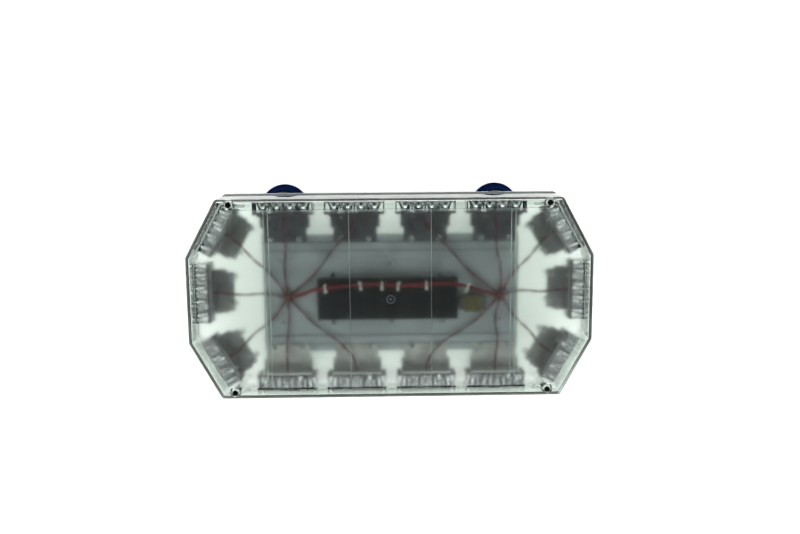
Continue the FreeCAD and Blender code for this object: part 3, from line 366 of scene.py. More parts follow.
class Shader:
    """A Principled material and short ways to feed it."""

    def __init__(self, name, **values):
        self.material = bpy.data.materials.new(name)
        self.material.use_nodes = True
        self.tree = self.material.node_tree
        self.bsdf = self.tree.nodes["Principled BSDF"]
        self.position = None
        self.set(**values)

    def set(self, **values):
        for key, value in values.items():
            socket = self.bsdf.inputs[key.replace("_", " ")]
            socket.default_value = (*value, 1.0) if isinstance(value, tuple) else value

    def node(self, kind, **settings):
        node = self.tree.nodes.new(kind)
        for key, value in settings.items():
            if key in node.bl_rna.properties:
                setattr(node, key, value)
            else:
                node.inputs[key.replace("_", " ")].default_value = value
        return node

    def link(self, source, target):
        self.tree.links.new(source, target)

    def coordinates(self, scale=(1, 1, 1)):
        """Object coordinates, in metres, stretched by scale."""
        if self.position is None:
            self.position = self.node("ShaderNodeTexCoord").outputs["Object"]
        mapping = self.node("ShaderNodeMapping")
        mapping.inputs["Scale"].default_value = scale
        self.link(self.position, mapping.inputs["Vector"])
        return mapping.outputs["Vector"]

    def noise(self, scale, detail=3.0, stretch=(1, 1, 1), roughness=0.55):
        node = self.node("ShaderNodeTexNoise", Scale=scale, Detail=detail, Roughness=roughness)
        self.link(self.coordinates(stretch), node.inputs["Vector"])
        return node.outputs["Fac"]

    def spread(self, source, low, high, start=0.3, end=0.7):
        """A value that runs from low to high as the source goes from start to end."""
        node = self.node("ShaderNodeMapRange")
        self.link(source, node.inputs["Value"])
        for key, value in (("From Min", start), ("From Max", end), ("To Min", low), ("To Max", high)):
            node.inputs[key].default_value = value
        return node.outputs["Result"]

    def shade(self, source, dark, light):
        """A colour that runs from dark to light with the source."""
        ramp = self.node("ShaderNodeValToRGB")
        set_ramp(ramp, (0.3, dark), (0.7, light))
        self.link(source, ramp.inputs["Fac"])
        return ramp.outputs["Color"]

    def colour(self, source):
        self.link(source, self.bsdf.inputs["Base Color"])

    def rough(self, source):
        self.link(source, self.bsdf.inputs["Roughness"])

    def bump(self, source, strength, distance):
        node = self.node("ShaderNodeBump", Strength=strength, Distance=distance)
        self.link(source, node.inputs["Height"])
        if self.bsdf.inputs["Normal"].is_linked:
            self.link(self.bsdf.inputs["Normal"].links[0].from_socket, node.inputs["Normal"])
        self.link(node.outputs["Normal"], self.bsdf.inputs["Normal"])

    def let_lamps_through(self, tint):
        """Rays from lamps pass straight through, so that what is inside is lit."""
        output = next(n for n in self.tree.nodes if n.type == "OUTPUT_MATERIAL")
        clear = self.node("ShaderNodeBsdfTransparent", Color=(*tint, 1))
        path = self.node("ShaderNodeLightPath")
        mix = self.node("ShaderNodeMixShader")
        self.link(path.outputs["Is Shadow Ray"], mix.inputs[0])
        self.link(self.bsdf.outputs[0], mix.inputs[1])
        self.link(clear.outputs[0], mix.inputs[2])
        self.link(mix.outputs[0], output.inputs["Surface"])
LAMP_TINT = (0.985, 0.998, 0.99)


def clear_plastic(name, tint, roughness, lamp_tint=LAMP_TINT, grain=60, bump=0.05, depth=0.2 * MM):
    """Clear plastic that lets the lamps in; a fine grain gives the spark-eroded panel."""
    shader = Shader(name, Base_Color=tint, Roughness=roughness, Transmission_Weight=1.0, IOR=1.56)
    shader.bump(shader.noise(grain, 2.0), bump, depth)
    shader.let_lamps_through(lamp_tint)
    return shader.material


def chrome(name):
    shader = Shader(name, Metallic=1.0, Base_Color=(0.86, 0.87, 0.88), Roughness=0.08)
    cloud = shader.noise(90, 4.0)
    shader.rough(shader.spread(cloud, 0.04, 0.16))
    shader.colour(shader.shade(cloud, (0.52, 0.53, 0.54), (0.66, 0.67, 0.68)))
    shader.bump(shader.noise(220, 2.0), 0.06, 0.1 * MM)
    return shader.material


def extruded_aluminium(name, dark, light):
    """Satin aluminium with die lines along X, and painted shade lines in the corners of its ridges."""
    shader = Shader(name, Metallic=1.0, Roughness=0.4)
    lines = shader.noise(900, 3.0, stretch=(0.012, 1, 1))
    cloud = shader.noise(30, 4.0)
    split = shader.node("ShaderNodeSeparateXYZ")
    shader.link(shader.coordinates(), split.inputs[0])
    across = shader.node("ShaderNodeMath", operation="ABSOLUTE")
    shader.link(split.outputs["Y"], across.inputs[0])
    # Painted shade: dark lines along the corners of the ridges, multiplied into the colour.
    ridge_shade_lines = shader.node("ShaderNodeValToRGB")
    ramp = ridge_shade_lines.color_ramp
    reach = 100 * MM
    ramp.elements[0].color = ramp.elements[1].color = (1, 1, 1, 1)
    for middle, ridge_shade in ((RIDGE_INNER, 0.45), (RIDGE_OUTER, 0.35)):
        for shift, value in ((-0.9, 1.0), (-0.3, ridge_shade), (0.3, ridge_shade), (0.9, 1.0)):
            stop = ramp.elements.new((middle + shift * MM) / reach)
            stop.color = (value, value, value, 1)
    scaled = shader.node("ShaderNodeMath", operation="DIVIDE")
    scaled.inputs[1].default_value = reach
    shader.link(across.outputs[0], scaled.inputs[0])
    shader.link(scaled.outputs[0], ridge_shade_lines.inputs["Fac"])
    blend = shader.node("ShaderNodeMix", data_type="RGBA", blend_type="MULTIPLY")
    blend.inputs["Factor"].default_value = 1.0
    shader.link(shader.shade(lines, dark, light), blend.inputs[6])
    shader.link(ridge_shade_lines.outputs["Color"], blend.inputs[7])
    shader.colour(blend.outputs[2])
    shader.rough(shader.spread(cloud, 0.34, 0.5))
    shader.bump(lines, 0.25, 0.06 * MM)
    return shader.material


def sheet_aluminium(name, dark, light):
    shader = Shader(name, Metallic=1.0, Roughness=0.35)
    cloud = shader.noise(160, 5.0)
    shader.colour(shader.shade(cloud, dark, light))
    shader.rough(shader.spread(cloud, 0.28, 0.46))
    shader.bump(shader.noise(1500, 2.0), 0.12, 0.05 * MM)
    return shader.material


def moulded(name, dark, light, rough_low=0.4, rough_high=0.55, grain=900, bump=0.15, **values):
    """Moulded plastic or rubber with a fine grain and a slow variation of tone."""
    shader = Shader(name, **values)
    cloud = shader.noise(45, 4.0)
    shader.colour(shader.shade(cloud, dark, light))
    shader.rough(shader.spread(shader.noise(130, 3.0), rough_low, rough_high))
    shader.bump(shader.noise(grain, 3.0), bump, 0.06 * MM)
    return shader.material


def insulation(name, dark, light):
    """Soft wire sleeve."""
    return moulded(name, dark, light, 0.35, 0.5, bump=0.05, Specular_IOR_Level=0.25)


def plated(name, dark, light, rough_low=0.2, rough_high=0.36):
    """Plated steel: faint crystals and handling marks."""
    shader = Shader(name, Metallic=1.0)
    cells = shader.node("ShaderNodeTexVoronoi", Scale=700.0)
    shader.link(shader.coordinates(), cells.inputs["Vector"])
    cloud = shader.noise(180, 5.0)
    shader.colour(shader.shade(cloud, dark, light))
    shader.rough(shader.spread(cloud, rough_low, rough_high))
    shader.bump(cells.outputs["Distance"], 0.05, 0.04 * MM)
    return shader.material


def circuit_board(name, mask, track):
    """Solder mask over copper tracks that run in right-angled lanes."""
    shader = Shader(name, Specular_IOR_Level=0.55)
    lanes = shader.node("ShaderNodeTexBrick", Scale=140.0, Mortar_Size=0.035, Bias=0.0)
    lanes.inputs["Color1"].default_value = (*mask, 1)
    lanes.inputs["Color2"].default_value = (*[c * 1.15 for c in mask], 1)
    lanes.inputs["Mortar"].default_value = (*track, 1)
    shader.link(shader.coordinates((1, 1.7, 1.7)), lanes.inputs["Vector"])
    shader.colour(lanes.outputs["Color"])
    shader.rough(shader.spread(shader.noise(200, 3.0), 0.28, 0.42))
    shader.bump(lanes.outputs["Fac"], 0.3, 0.05 * MM)
    return shader.material
# Painted light and shade in the tints: the cover's clear faces are tinted darker than its frosted panel
# and the tray. This darkens the cover's walls and brightens the middle.
SHADED_CLEAR = clear_plastic("clear_cover", (0.865, 0.925, 0.885), 0.03)
CLEAR_TRAY = clear_plastic("clear_tray", (0.965, 0.998, 0.975), 0.05)
LIT_FROST = clear_plastic("lit_frosted_panel", (0.985, 1.0, 0.99), 0.27, LAMP_TINT, 2400, 0.25, 0.05 * MM)
GATE_MARK = moulded(
    "gate_mark", (0.035, 0.038, 0.045), (0.060, 0.065, 0.075), 0.4, 0.6, Transmission_Weight=0.5
)
CHROME = chrome("reflector_chrome")
CARRIER = extruded_aluminium("carrier_metal", (0.30, 0.345, 0.355), (0.42, 0.465, 0.475))
# Lit and shaded copies of one bracket metal: the darkest is painted shade for the rear, the middle one is
# for the ends and corners, and the palest is painted light for the front.
SHADED_REAR_BRACKET = sheet_aluminium("rear_bracket_painted_shade", (0.11, 0.115, 0.125), (0.17, 0.18, 0.19))
HALF_SHADED_SIDE_BRACKET = sheet_aluminium("side_bracket_half_shade", (0.24, 0.25, 0.25), (0.34, 0.355, 0.35))
LIT_FRONT_BRACKET = sheet_aluminium("front_bracket_painted_light", (0.40, 0.41, 0.40), (0.54, 0.55, 0.53))
BLACK_PLASTIC = moulded(
    "black_case", (0.002, 0.003, 0.004), (0.005, 0.006, 0.007), 0.45, 0.6, Specular_IOR_Level=0.1
)
WHITE_PLASTIC = moulded("white_nylon", (0.26, 0.26, 0.24), (0.36, 0.36, 0.33), 0.35, 0.5, bump=0.08)
RED_WIRE = insulation("red_wire", (0.075, 0.006, 0.008), (0.13, 0.010, 0.012))
LEAD_RED = insulation("lead_red", (0.085, 0.010, 0.014), (0.15, 0.016, 0.020))
BLACK_WIRE = insulation("black_wire", (0.006, 0.006, 0.007), (0.014, 0.014, 0.016))
BLUE_RUBBER = moulded(
    "blue_rubber", (0.0008, 0.005, 0.026), (0.0016, 0.009, 0.040), 0.5, 0.7, 700, 0.2,
    Specular_IOR_Level=0.02,
)
BLACK_RUBBER = moulded("black_rubber", (0.010, 0.010, 0.011), (0.024, 0.024, 0.025), 0.5, 0.7, bump=0.25)
GASKET_RUBBER = moulded("gasket_rubber", (0.40, 0.41, 0.40), (0.52, 0.53, 0.52), 0.5, 0.7, bump=0.25)
TAPE = moulded(
    "choke_tape", (0.036, 0.033, 0.010), (0.062, 0.057, 0.018), 0.3, 0.45, bump=0.1,
    Specular_IOR_Level=0.3,
)
FERRITE = moulded("ferrite", (0.022, 0.022, 0.025), (0.045, 0.045, 0.05), 0.5, 0.7, bump=0.3)
LED_BASE = moulded("led_ceramic", (0.72, 0.72, 0.70), (0.86, 0.86, 0.84), 0.35, 0.5, bump=0.05)
PHOSPHOR = moulded("led_phosphor", (0.75, 0.58, 0.05), (0.88, 0.72, 0.10), 0.4, 0.5, bump=0.05)
LED_DOME = clear_plastic("led_dome", (1.0, 1.0, 1.0), 0.02, (0.98, 0.98, 0.98))
MASK_BLACK = circuit_board("led_board_mask", (0.012, 0.013, 0.014), (0.035, 0.036, 0.036))
MASK_GREEN = circuit_board("driver_board_mask", (0.010, 0.060, 0.025), (0.03, 0.14, 0.06))
SCREW_STEEL = plated("screw_steel", (0.28, 0.30, 0.31), (0.40, 0.42, 0.43))
BLACK_STEEL = plated("black_steel", (0.010, 0.010, 0.011), (0.030, 0.030, 0.032), 0.3, 0.5)
ZINC = plated("zinc_steel", (0.50, 0.51, 0.52), (0.66, 0.67, 0.68))
POT_STEEL = plated("pot_steel", (0.20, 0.22, 0.22), (0.33, 0.36, 0.35), 0.3, 0.48)
MAGNET = plated("magnet_nickel", (0.45, 0.45, 0.44), (0.62, 0.62, 0.60), 0.12, 0.25)
SOLDER = plated("solder", (0.62, 0.62, 0.60), (0.78, 0.78, 0.76), 0.15, 0.3)


# ---- camera, light and floor
LENS_MM = 28.38
CAMERA_ABOVE, CAMERA_BEHIND, CAMERA_ASIDE = 600 * MM, 101.9 * MM, 0.4 * MM
CAMERA_TILT, CAMERA_TURN, CAMERA_ROLL = -6.71, -0.83, -0.59
FLOOR_GLOW_UNDER_BAR = 0.55
AIM_POINT = (0, 0, 0.03)


def build_camera():
    """Nearly straight above, a little behind the bar's middle, looking down and to the front."""
    data = bpy.data.cameras.new("camera")
    data.sensor_width = 36.0
    data.lens = LENS_MM
    camera = bpy.data.objects.new("camera", data)
    bpy.context.scene.collection.objects.link(camera)
    aim = Matrix.Identity(4)
    for angle, axis in ((CAMERA_TILT, "X"), (CAMERA_TURN, "Y"), (CAMERA_ROLL, "Z")):
        aim = aim @ Matrix.Rotation(math.radians(angle), 4, axis)
    place = (CAMERA_ASIDE, CAMERA_BEHIND, COVER_HIGH.z + CAMERA_ABOVE)
    camera.matrix_world = Matrix.Translation(place) @ aim
    bpy.context.scene.camera = camera


def area_light(name, place, target, size, power):
    data = bpy.data.lights.new(name, "AREA")
    data.shape = "RECTANGLE"
    data.size, data.size_y = size
    data.energy = power
    light = bpy.data.objects.new(name, data)
    light.location = place
    light.rotation_euler = (Vector(target) - Vector(place)).to_track_quat("-Z", "Y").to_euler()
    bpy.context.scene.collection.objects.link(light)
    return light


def build_lights():
    """A pale sky that is darker straight above, soft boxes all round and a fill from the top."""
    world = bpy.data.worlds.new("studio")
    bpy.context.scene.world = world
    world.use_nodes = True
    tree = world.node_tree
    background = tree.nodes["Background"]
    where = tree.nodes.new("ShaderNodeTexCoord")
    split = tree.nodes.new("ShaderNodeSeparateXYZ")
    ramp = tree.nodes.new("ShaderNodeValToRGB")
    set_ramp(ramp, (0.50, (1, 1, 1)), (0.86, (0.02, 0.02, 0.021)))
    tree.links.new(where.outputs["Generated"], split.inputs[0])
    tree.links.new(split.outputs["Z"], ramp.inputs["Fac"])
    tree.links.new(ramp.outputs["Color"], background.inputs["Color"])
    background.inputs["Strength"].default_value = 1.0
    area_light("front_box", (0.0, -0.85, 1.15), AIM_POINT, (1.6, 0.5), 5)
    area_light("rear_box", (0.0, 1.4, 0.8), AIM_POINT, (1.8, 0.6), 6)
    area_light("left_box", (-1.4, 0.1, 0.8), AIM_POINT, (0.6, 1.4), 5)
    area_light("right_box", (1.4, 0.1, 0.8), AIM_POINT, (0.6, 1.4), 5)
    fill = area_light("top_fill", (0.0, 0.1, 1.4), (0, 0.1, 0), (1.4, 1.0), 14)
    fill.visible_glossy = False
    fill.visible_transmission = False


def build_floor():
    """A white floor whose patch under the bar glows: painted light that lights the bar from below."""
    reach = 3.0
    corners = [(sx * reach, sy * reach, 0) for sx, sy in SIGNS]
    floor = new_object("floor", mesh_from("floor", corners, [(0, 1, 2, 3)]))
    shader = Shader("studio_floor", Base_Color=(0.93, 0.93, 0.93), Roughness=0.9, Specular_IOR_Level=0.1)
    shader.colour(shader.shade(shader.noise(6, 3.0), (0.925, 0.925, 0.925), (0.94, 0.94, 0.94)))
    place = shader.node("ShaderNodeSeparateXYZ")
    shader.link(shader.coordinates(), place.inputs[0])
    # Painted light: the floor glows in a patch under the bar, and the glow fades out at the patch's
    # edges.
    glow = shader.node("ShaderNodeMath", operation="MULTIPLY")
    for i, (axis, edge) in enumerate((("X", TOP[0] + 9 * MM), ("Y", TOP[1]))):
        size = shader.node("ShaderNodeMath", operation="ABSOLUTE")
        shader.link(place.outputs[axis], size.inputs[0])
        lit = shader.spread(size.outputs[0], FLOOR_GLOW_UNDER_BAR, 0.0, edge - 12 * MM, edge + 2 * MM)
        shader.link(lit, glow.inputs[i])
    shader.set(Emission_Color=(0.93, 1.0, 0.94))
    shader.link(glow.outputs[0], shader.bsdf.inputs["Emission Strength"])
    paint(floor, shader.material)


# ---- cover and tray
def shell_outside(bottom, top, bead_at, edge):
    """Rings of an outer skin from the bottom up: bead, wall and rounded top edge."""
    soft = 0.5 * MM
    low, high = bead_at
    levels = [(bottom, lean(bottom))]
    if low > bottom + MM:
        levels.append((low - soft, lean(low)))
    levels += [(low, lean(low) + BEAD * 0.5), (low + soft, lean(low) + BEAD)]
    levels += [(high - soft, lean(high) + BEAD), (high, lean(high) + BEAD * 0.5)]
    if top > high + MM:
        levels.append((high + soft, lean(high)))
    if edge:
        for k in range(6):
            angle = math.pi / 2 * k / 5
            inward = edge * (1 - math.cos(angle))
            levels.append((top - edge + edge * math.sin(angle), lean(top - edge) - inward))
    return [octagon(offset, z, radius=4 * MM) for z, offset in levels]


def rounded_square(x, y, z, half, radius=2 * MM, steps=4):
    ring = []
    for sx, sy, start in ((1, 1, 0), (-1, 1, 90), (-1, -1, 180), (1, -1, 270)):
        for k in range(steps + 1):
            angle = math.radians(start + 90 * k / steps)
            cx, cy = x + sx * (half - radius), y + sy * (half - radius)
            ring.append(Vector((cx + radius * math.cos(angle), cy + radius * math.sin(angle), z)))
    return ring


def build_cover():
    top, bottom = COVER_HIGH.z, COVER_LOW.z
    roof = top - WALL
    ceiling = roof + PANEL_STEP
    body = rings_mesh("outside", shell_outside(bottom, top, (bottom, bottom + BEAD_DEPTH), 1.2 * MM))
    hollow = [octagon(lean(bottom) - WALL, bottom - MM)]
    hollow += [octagon(lean(roof - 1.5 * MM) - WALL, roof - 1.5 * MM)]
    hollow += [octagon(lean(roof) - WALL - 0.5 * MM, roof - 0.4 * MM)]
    hollow += [octagon(lean(roof) - WALL - 1.6 * MM, roof)]
    hollow += [octagon(-PANEL_INSET, roof), octagon(-PANEL_INSET - 0.2 * MM, ceiling)]
    body = cut(body, rings_mesh("hollow", hollow))
    for sx, sy in SIGNS:
        levels = ((1.0, 4.7), (-6.0, 4.5), (-6.7, 3.9))
        place = (sx * SCREW_X, sy * SCREW_Y)
        squares = [rounded_square(*place, roof + z * MM, half * MM) for z, half in levels]
        body = fuse(body, rings_mesh("boss", squares))
    seat = SCREW_HIGH.z - HEAD_RISE
    recess = [(1.7 * MM, roof - 8 * MM), (1.7 * MM, seat), (3.2 * MM, seat)]
    recess += in_mm([(3.2, -0.3), (3.7, 0.2), (3.7, 1)], top)
    for sx, sy in SIGNS:
        body = cut(body, drum(sx * SCREW_X, sy * SCREW_Y, recess))
    gate_ring = in_mm([(4.5, 1), (4.5, 0), (3.8, -0.5), (3.0, 0), (3.0, 1)], top)
    dimple = in_mm([(1.6, 1), (1.6, 0), (0.8, -0.4), (0.0001, -0.5)], top)
    for tool in (gate_ring, dimple):
        body = cut(body, drum(0, 0, tool, 40))
    tidy_mesh(body, 24)
    for face in body.polygons:
        centre = face.center
        panel = face.normal.z < -0.9 and abs(centre.z - ceiling) < 0.1 * MM
        gate = math.hypot(centre.x, centre.y) < 5 * MM and top - 0.6 * MM < centre.z < top - 0.01 * MM
        face.material_index = 2 if gate else int(panel)
    add_piece("cover_shell", body, "clear_cover", SHADED_CLEAR, LIT_FROST, GATE_MARK, node="lens_cover")
    build_ribs(ceiling)


def build_ribs(ceiling):
    """Thin moulding ribs across the inside of the top, with a small foot at each end."""
    reach = TOP[1] - 10.4 * MM
    inner, outer, gap = 39.4 * MM, 116.3 * MM, 4.2 * MM
    meshes = []
    for x in [sign * x for sign in (-1, 1) for x in (inner, outer, outer + gap)]:
        middle = (x, 0, ceiling - 0.5 * MM)
        meshes.append(rounded_box("rib", (0.8 * MM, 2 * reach, 1.0 * MM), 0.25 * MM, middle, 2))
        for sign in (-1, 1):
            end = (x, sign * (reach - 2 * MM), ceiling - 0.6 * MM)
            meshes.append(rounded_box("tick", (1.6 * MM, 3 * MM, 1.2 * MM), 0.3 * MM, end, 2))
    add_piece("cover_ribs", gather("cover_ribs", meshes), "clear_cover", SHADED_CLEAR)


def build_tray():
    bottom, top, floor = TRAY_LOW.z, TRAY_RIM, TRAY_FLOOR
    outside = shell_outside(bottom + 0.8 * MM, top, (top - BEAD_DEPTH, top), 0)
    outside.insert(0, octagon(lean(bottom) - 0.8 * MM, bottom, radius=4 * MM))
    hollow = [octagon(lean(floor) - WALL - MM, floor), octagon(lean(floor + MM) - WALL, floor + MM)]
    hollow += [octagon(lean(top) - WALL, top + MM)]
    body = cut(rings_mesh("tray", outside), rings_mesh("hollow", hollow))
    under = PLATFORM_TOP - PLATFORM_THICK
    posts = [(x, y, under, CARRIER_POST) for x, y in carrier_post_places()]
    posts += [(sx * SCREW_X, sy * SCREW_Y, TRAY_HIGH.z, COVER_POST) for sx, sy in SIGNS]
    posts += [(x, y, PLATFORM_TOP, BRACKET_POST) for x, y in bracket_post_places()]
    for x, y, high, radius in posts:
        post = [(radius, floor - WALL / 2), (radius - 0.3 * MM, high)]
        body = fuse(body, drum(x, y, post))
    for x, y, high, _ in posts:
        thread = [(THREAD_RADIUS, high - THREAD_DEPTH), (THREAD_RADIUS, high + MM)]
        body = cut(body, drum(x, y, thread, 16))
    for x, y, radius in floor_openings():
        body = cut(body, drum(x, y, [(radius, bottom - MM), (radius, floor + MM)]))
    tidy_mesh(body, 24)
    add_piece("tray_shell", body, "clear_tray", CLEAR_TRAY, node="base_tray")


def carrier_post_places():
    return [(sx * CARRIER_POST_X, sy * CARRIER_POST_Y) for sx in (-1, 0, 1) for sy in (-1, 1)]


def bracket_post_places():
    """Under the two screws of each end and corner bracket."""
    places = []
    for side in ("left", "right", "front_left", "front_right", "rear_left", "rear_right"):
        for x in (-BRACKET_SCREW_X, BRACKET_SCREW_X):
            point = MODULES[side] @ Vector((x, CORNER_SCREW_Y, 0))
            places.append((point.x, point.y))
    return places


def floor_openings():
    places = [(sx * FOOT_X, sy * FOOT_Y, 2.65 * MM) for sx, sy in SIGNS]
    for name, radius in (("cable_grommet", 7.0 * MM), ("vent_plug", 4.0 * MM)):
        middle = middle_of(name)
        places.append((middle.x, middle.y, radius))
    return places


# ---- LED modules
BOARD_THICK, LED_HEIGHT = 1.6 * MM, 2.0 * MM
CUP_PITCH, CUP_MOUTH, CUP_THROAT = 13.4 * MM, 6.4 * MM, 2.7 * MM
MODULE_HEIGHT, MODULE_DEPTH = 20 * MM, 15 * MM
LACE_X, LACE_Z = 13.4 * MM, 7.3 * MM
NEAR = 1e-7


def module_matrix(name, turn):
    """From a module's own frame (LED row along X, outward +Y, board's back at Y 0) to the row's."""
    aim = Matrix.Rotation(math.radians(turn), 4, "Z")
    outward = aim @ Vector((0, 1, 0))
    centre = middle_of(f"led_board_{name}") - outward * (BOARD_THICK + LED_HEIGHT) / 2
    return Matrix.Translation(centre) @ aim


def module_matrices():
    slant = math.degrees(math.atan2(TOP[2], TOP[3]))
    turns = {f"rear_{i}": 0 for i in range(1, 5)}
    turns.update({f"front_{i}": 180 for i in range(1, 5)})
    turns.update({"left": 90, "right": -90, "rear_right": slant - 90, "rear_left": 90 - slant})
    turns.update({"front_right": -90 - slant, "front_left": 90 + slant})
    return {name: module_matrix(name, turn) for name, turn in turns.items()}


MODULES = module_matrices()


def plate_with_holes(name, length, height, y, thick, hole, segments=32):
    """A plate across the four cups with a round hole at each; front and back faces with walls."""
    work = bmesh.new()
    half = height / 2
    edges_x = [-length / 2] + [(i - 1) * CUP_PITCH for i in range(3)] + [length / 2]
    for cell in range(4):
        centre = (cell - 1.5) * CUP_PITCH
        left, right = edges_x[cell], edges_x[cell + 1]
        corners = [math.atan2(sy * half, x - centre) for x in (left, right) for sy in (-1, 1)]
        angles = sorted([2 * math.pi * k / segments - math.pi for k in range(segments)] + corners)
        angles = [a for i, a in enumerate(angles) if i == 0 or a - angles[i - 1] > 1e-4]
        rings = []
        for depth in (y, y + thick):
            inner = [(centre + hole * math.cos(a), hole * math.sin(a)) for a in angles]
            outer = []
            for a in angles:
                c, s = math.cos(a), math.sin(a)
                reach_x = ((right if c > 0 else left) - centre) / c if abs(c) > 1e-9 else 1e9
                reach_z = half / abs(s) if abs(s) > 1e-9 else 1e9
                reach = min(reach_x, reach_z)
                outer.append((centre + reach * c, reach * s))
            rings += [[work.verts.new((x, depth, z)) for x, z in ring] for ring in (inner, outer)]
        count = len(angles)
        for i in range(count):
            j = (i + 1) % count
            inner_a, outer_a, inner_b, outer_b = rings
            work.faces.new((inner_a[i], outer_a[i], outer_a[j], inner_a[j]))
            work.faces.new((inner_b[i], inner_b[j], outer_b[j], outer_b[i]))
            work.faces.new((inner_a[i], inner_a[j], inner_b[j], inner_b[i]))
            a, b = outer_a[i].co.x, outer_a[j].co.x
            seam = all(min(abs(abs(x) - CUP_PITCH), abs(x)) < NEAR for x in (a, b))
            if not (seam and abs(a - b) < NEAR):
                work.faces.new((outer_a[i], outer_b[i], outer_b[j], outer_a[j]))
    mesh = bpy.data.meshes.new(name)
    work.to_mesh(mesh)
    work.free()
    tidy_mesh(mesh, 30)
    return mesh


def cup_mesh(back, front, skin):
    """A thin parabolic cup about +Y from its throat to its mouth."""
    shares = [k / 10 for k in range(11)]
    inside = [
        (math.sqrt(CUP_THROAT ** 2 + (CUP_MOUTH ** 2 - CUP_THROAT ** 2) * t), back + (front - back) * t)
        for t in shares
    ]
    outside = [(radius + skin, z) for radius, z in inside]
    mesh = lathe("cup", inside + outside[::-1], 40, loop=True)
    mesh.transform(Z_TO_Y)
    return mesh


def reflector_mesh(length):
    """Four chromed cups between a front frame and a back flange, with webs and screw pillars."""
    face = 1.2 * MM
    front = MODULE_DEPTH - face
    flange_height = MODULE_HEIGHT - 2 * MM
    meshes = [
        plate_with_holes("face", length, MODULE_HEIGHT, front, face, CUP_MOUTH),
        plate_with_holes("flange", length, flange_height, BOARD_THICK, 1.0 * MM, 2.75 * MM),
    ]
    cup = cup_mesh(BOARD_THICK, MODULE_DEPTH - 0.05 * MM, 0.55 * MM)
    for i in range(4):
        mesh = cup.copy()
        mesh.transform(Matrix.Translation(((i - 1.5) * CUP_PITCH, 0, 0)))
        meshes.append(mesh)
    long, middle = front - BOARD_THICK, (front + BOARD_THICK) / 2
    for x in (-CUP_PITCH, 0, CUP_PITCH):
        for z in (-1, 1):
            place = (x, middle, z * 8.0 * MM)
            meshes.append(rounded_box("web", (0.9 * MM, long, 3.2 * MM), 0.2 * MM, place, 2))
    for side in (-1, 1):
        place = (side * (length / 2 - 0.6 * MM), middle, 0)
        size = (1.2 * MM, long, MODULE_HEIGHT - 4 * MM)
        meshes.append(rounded_box("cheek", size, 0.3 * MM, place, 2))
        pillar = lathe("pillar", in_mm([(1.35, 0), (2.7, 0), (2.5, 4.4), (1.35, 4.4)]), 20, loop=True)
        pillar.transform(Matrix.Translation((side * LACE_X, BOARD_THICK, -side * LACE_Z)) @ Z_TO_Y)
        meshes.append(pillar)
    return gather("reflector", meshes, 28)


def board_mesh(length):
    """A board with four LEDs, their domes, a row of resistors and solder pads."""
    def chip(name, size, radius, y=0.0, steps=2):
        return rounded_box(name, [s * MM for s in size], radius * MM, (0, y, 0), steps)

    plate = rounded_box(
        "plate", (length, BOARD_THICK, MODULE_HEIGHT), 0.35 * MM, (0, BOARD_THICK / 2, 0), 2
    )
    parts = [(plate, STILL, 0)]
    base = chip("ceramic", (3.4, 0.7, 3.4), 0.15, BOARD_THICK + 0.35 * MM)
    die = chip("die", (1.4, 0.25, 1.4), 0.08, BOARD_THICK + 0.75 * MM, 1)
    tip, rise = BOARD_THICK + LED_HEIGHT, 1.25 * MM
    angles = [math.radians(a) for a in range(15, 91, 15)]
    profile = [(1.45 * MM * math.sin(a), tip - rise * (1 - math.cos(a))) for a in angles]
    dome = lathe("dome", [(AXIS, tip)] + profile + [(AXIS, tip - rise)], 24)
    dome.transform(Z_TO_Y)
    for i in range(4):
        shift = Matrix.Translation(((i - 1.5) * CUP_PITCH, 0, 0))
        parts += [(base, shift, 1), (die, shift, 2), (dome, shift, 3)]
    resistor = chip("chip", (2.0, 0.55, 1.2), 0.1)
    cap = chip("cap", (0.4, 0.6, 1.26), 0.08, steps=1)
    for i in range(3):
        place = Matrix.Translation(((i - 1) * CUP_PITCH, BOARD_THICK + 0.27 * MM, 4.6 * MM))
        parts.append((resistor, place, 4))
        for end in (-0.9, 0.9):
            parts.append((cap, place @ Matrix.Translation((end * MM, 0, 0)), 5))
    return join_meshes("board", parts, 40)


def build_modules():
    lengths = {"straight": 60 * MM, "corner": 54 * MM}
    reflectors = {key: reflector_mesh(length) for key, length in lengths.items()}
    boards = {key: board_mesh(length) for key, length in lengths.items()}
    board_materials = (MASK_BLACK, LED_BASE, PHOSPHOR, LED_DOME, BLACK_PLASTIC, SOLDER)
    for name, matrix in MODULES.items():
        kind = "corner" if "_" in name and not name[-1].isdigit() else "straight"
        for mesh, node, slot, materials in (
            (reflectors[kind], f"reflector_{name}", "chromed_plastic", (CHROME,)),
            (boards[kind], f"led_board_{name}", "led_board", board_materials),
        ):
            add_piece(f"{node}_detail", mesh, slot, *materials, node=node, place=matrix)
    # Painted light and shade: rear brackets get the dark copy, front brackets the pale copy, and end and
    # corner brackets the middle copy.
    bracket_light_and_shade = {"rear": SHADED_REAR_BRACKET, "front": LIT_FRONT_BRACKET, "corner": HALF_SHADED_SIDE_BRACKET, "end": HALF_SHADED_SIDE_BRACKET}
    for side, metal in bracket_light_and_shade.items():
        carry(f"{side}_brackets", metal, 0.25 * MM)


# ---- driver and wires
def build_driver():
    build_case()
    carry("driver_board", MASK_GREEN)
    carry("driver_screws", SCREW_STEEL, 0.15 * MM)
    middle = (CASE_LOW + CASE_HIGH) / 2
    pitch = (CASE_HIGH.x - CASE_LOW.x) / 2 / 5.2
    fins = []
    for i in range(9):
        place = (middle.x + (i - 4) * pitch, middle.y - 8 * MM, CASE_HIGH.z + 0.2 * MM)
        fins.append(rounded_box("fin", (1.6 * MM, 18 * MM, 0.8 * MM), 0.3 * MM, place, 2))
    add_piece("driver_case_ribs", gather("driver_case_ribs", fins), "black_case", BLACK_PLASTIC)
    build_choke()


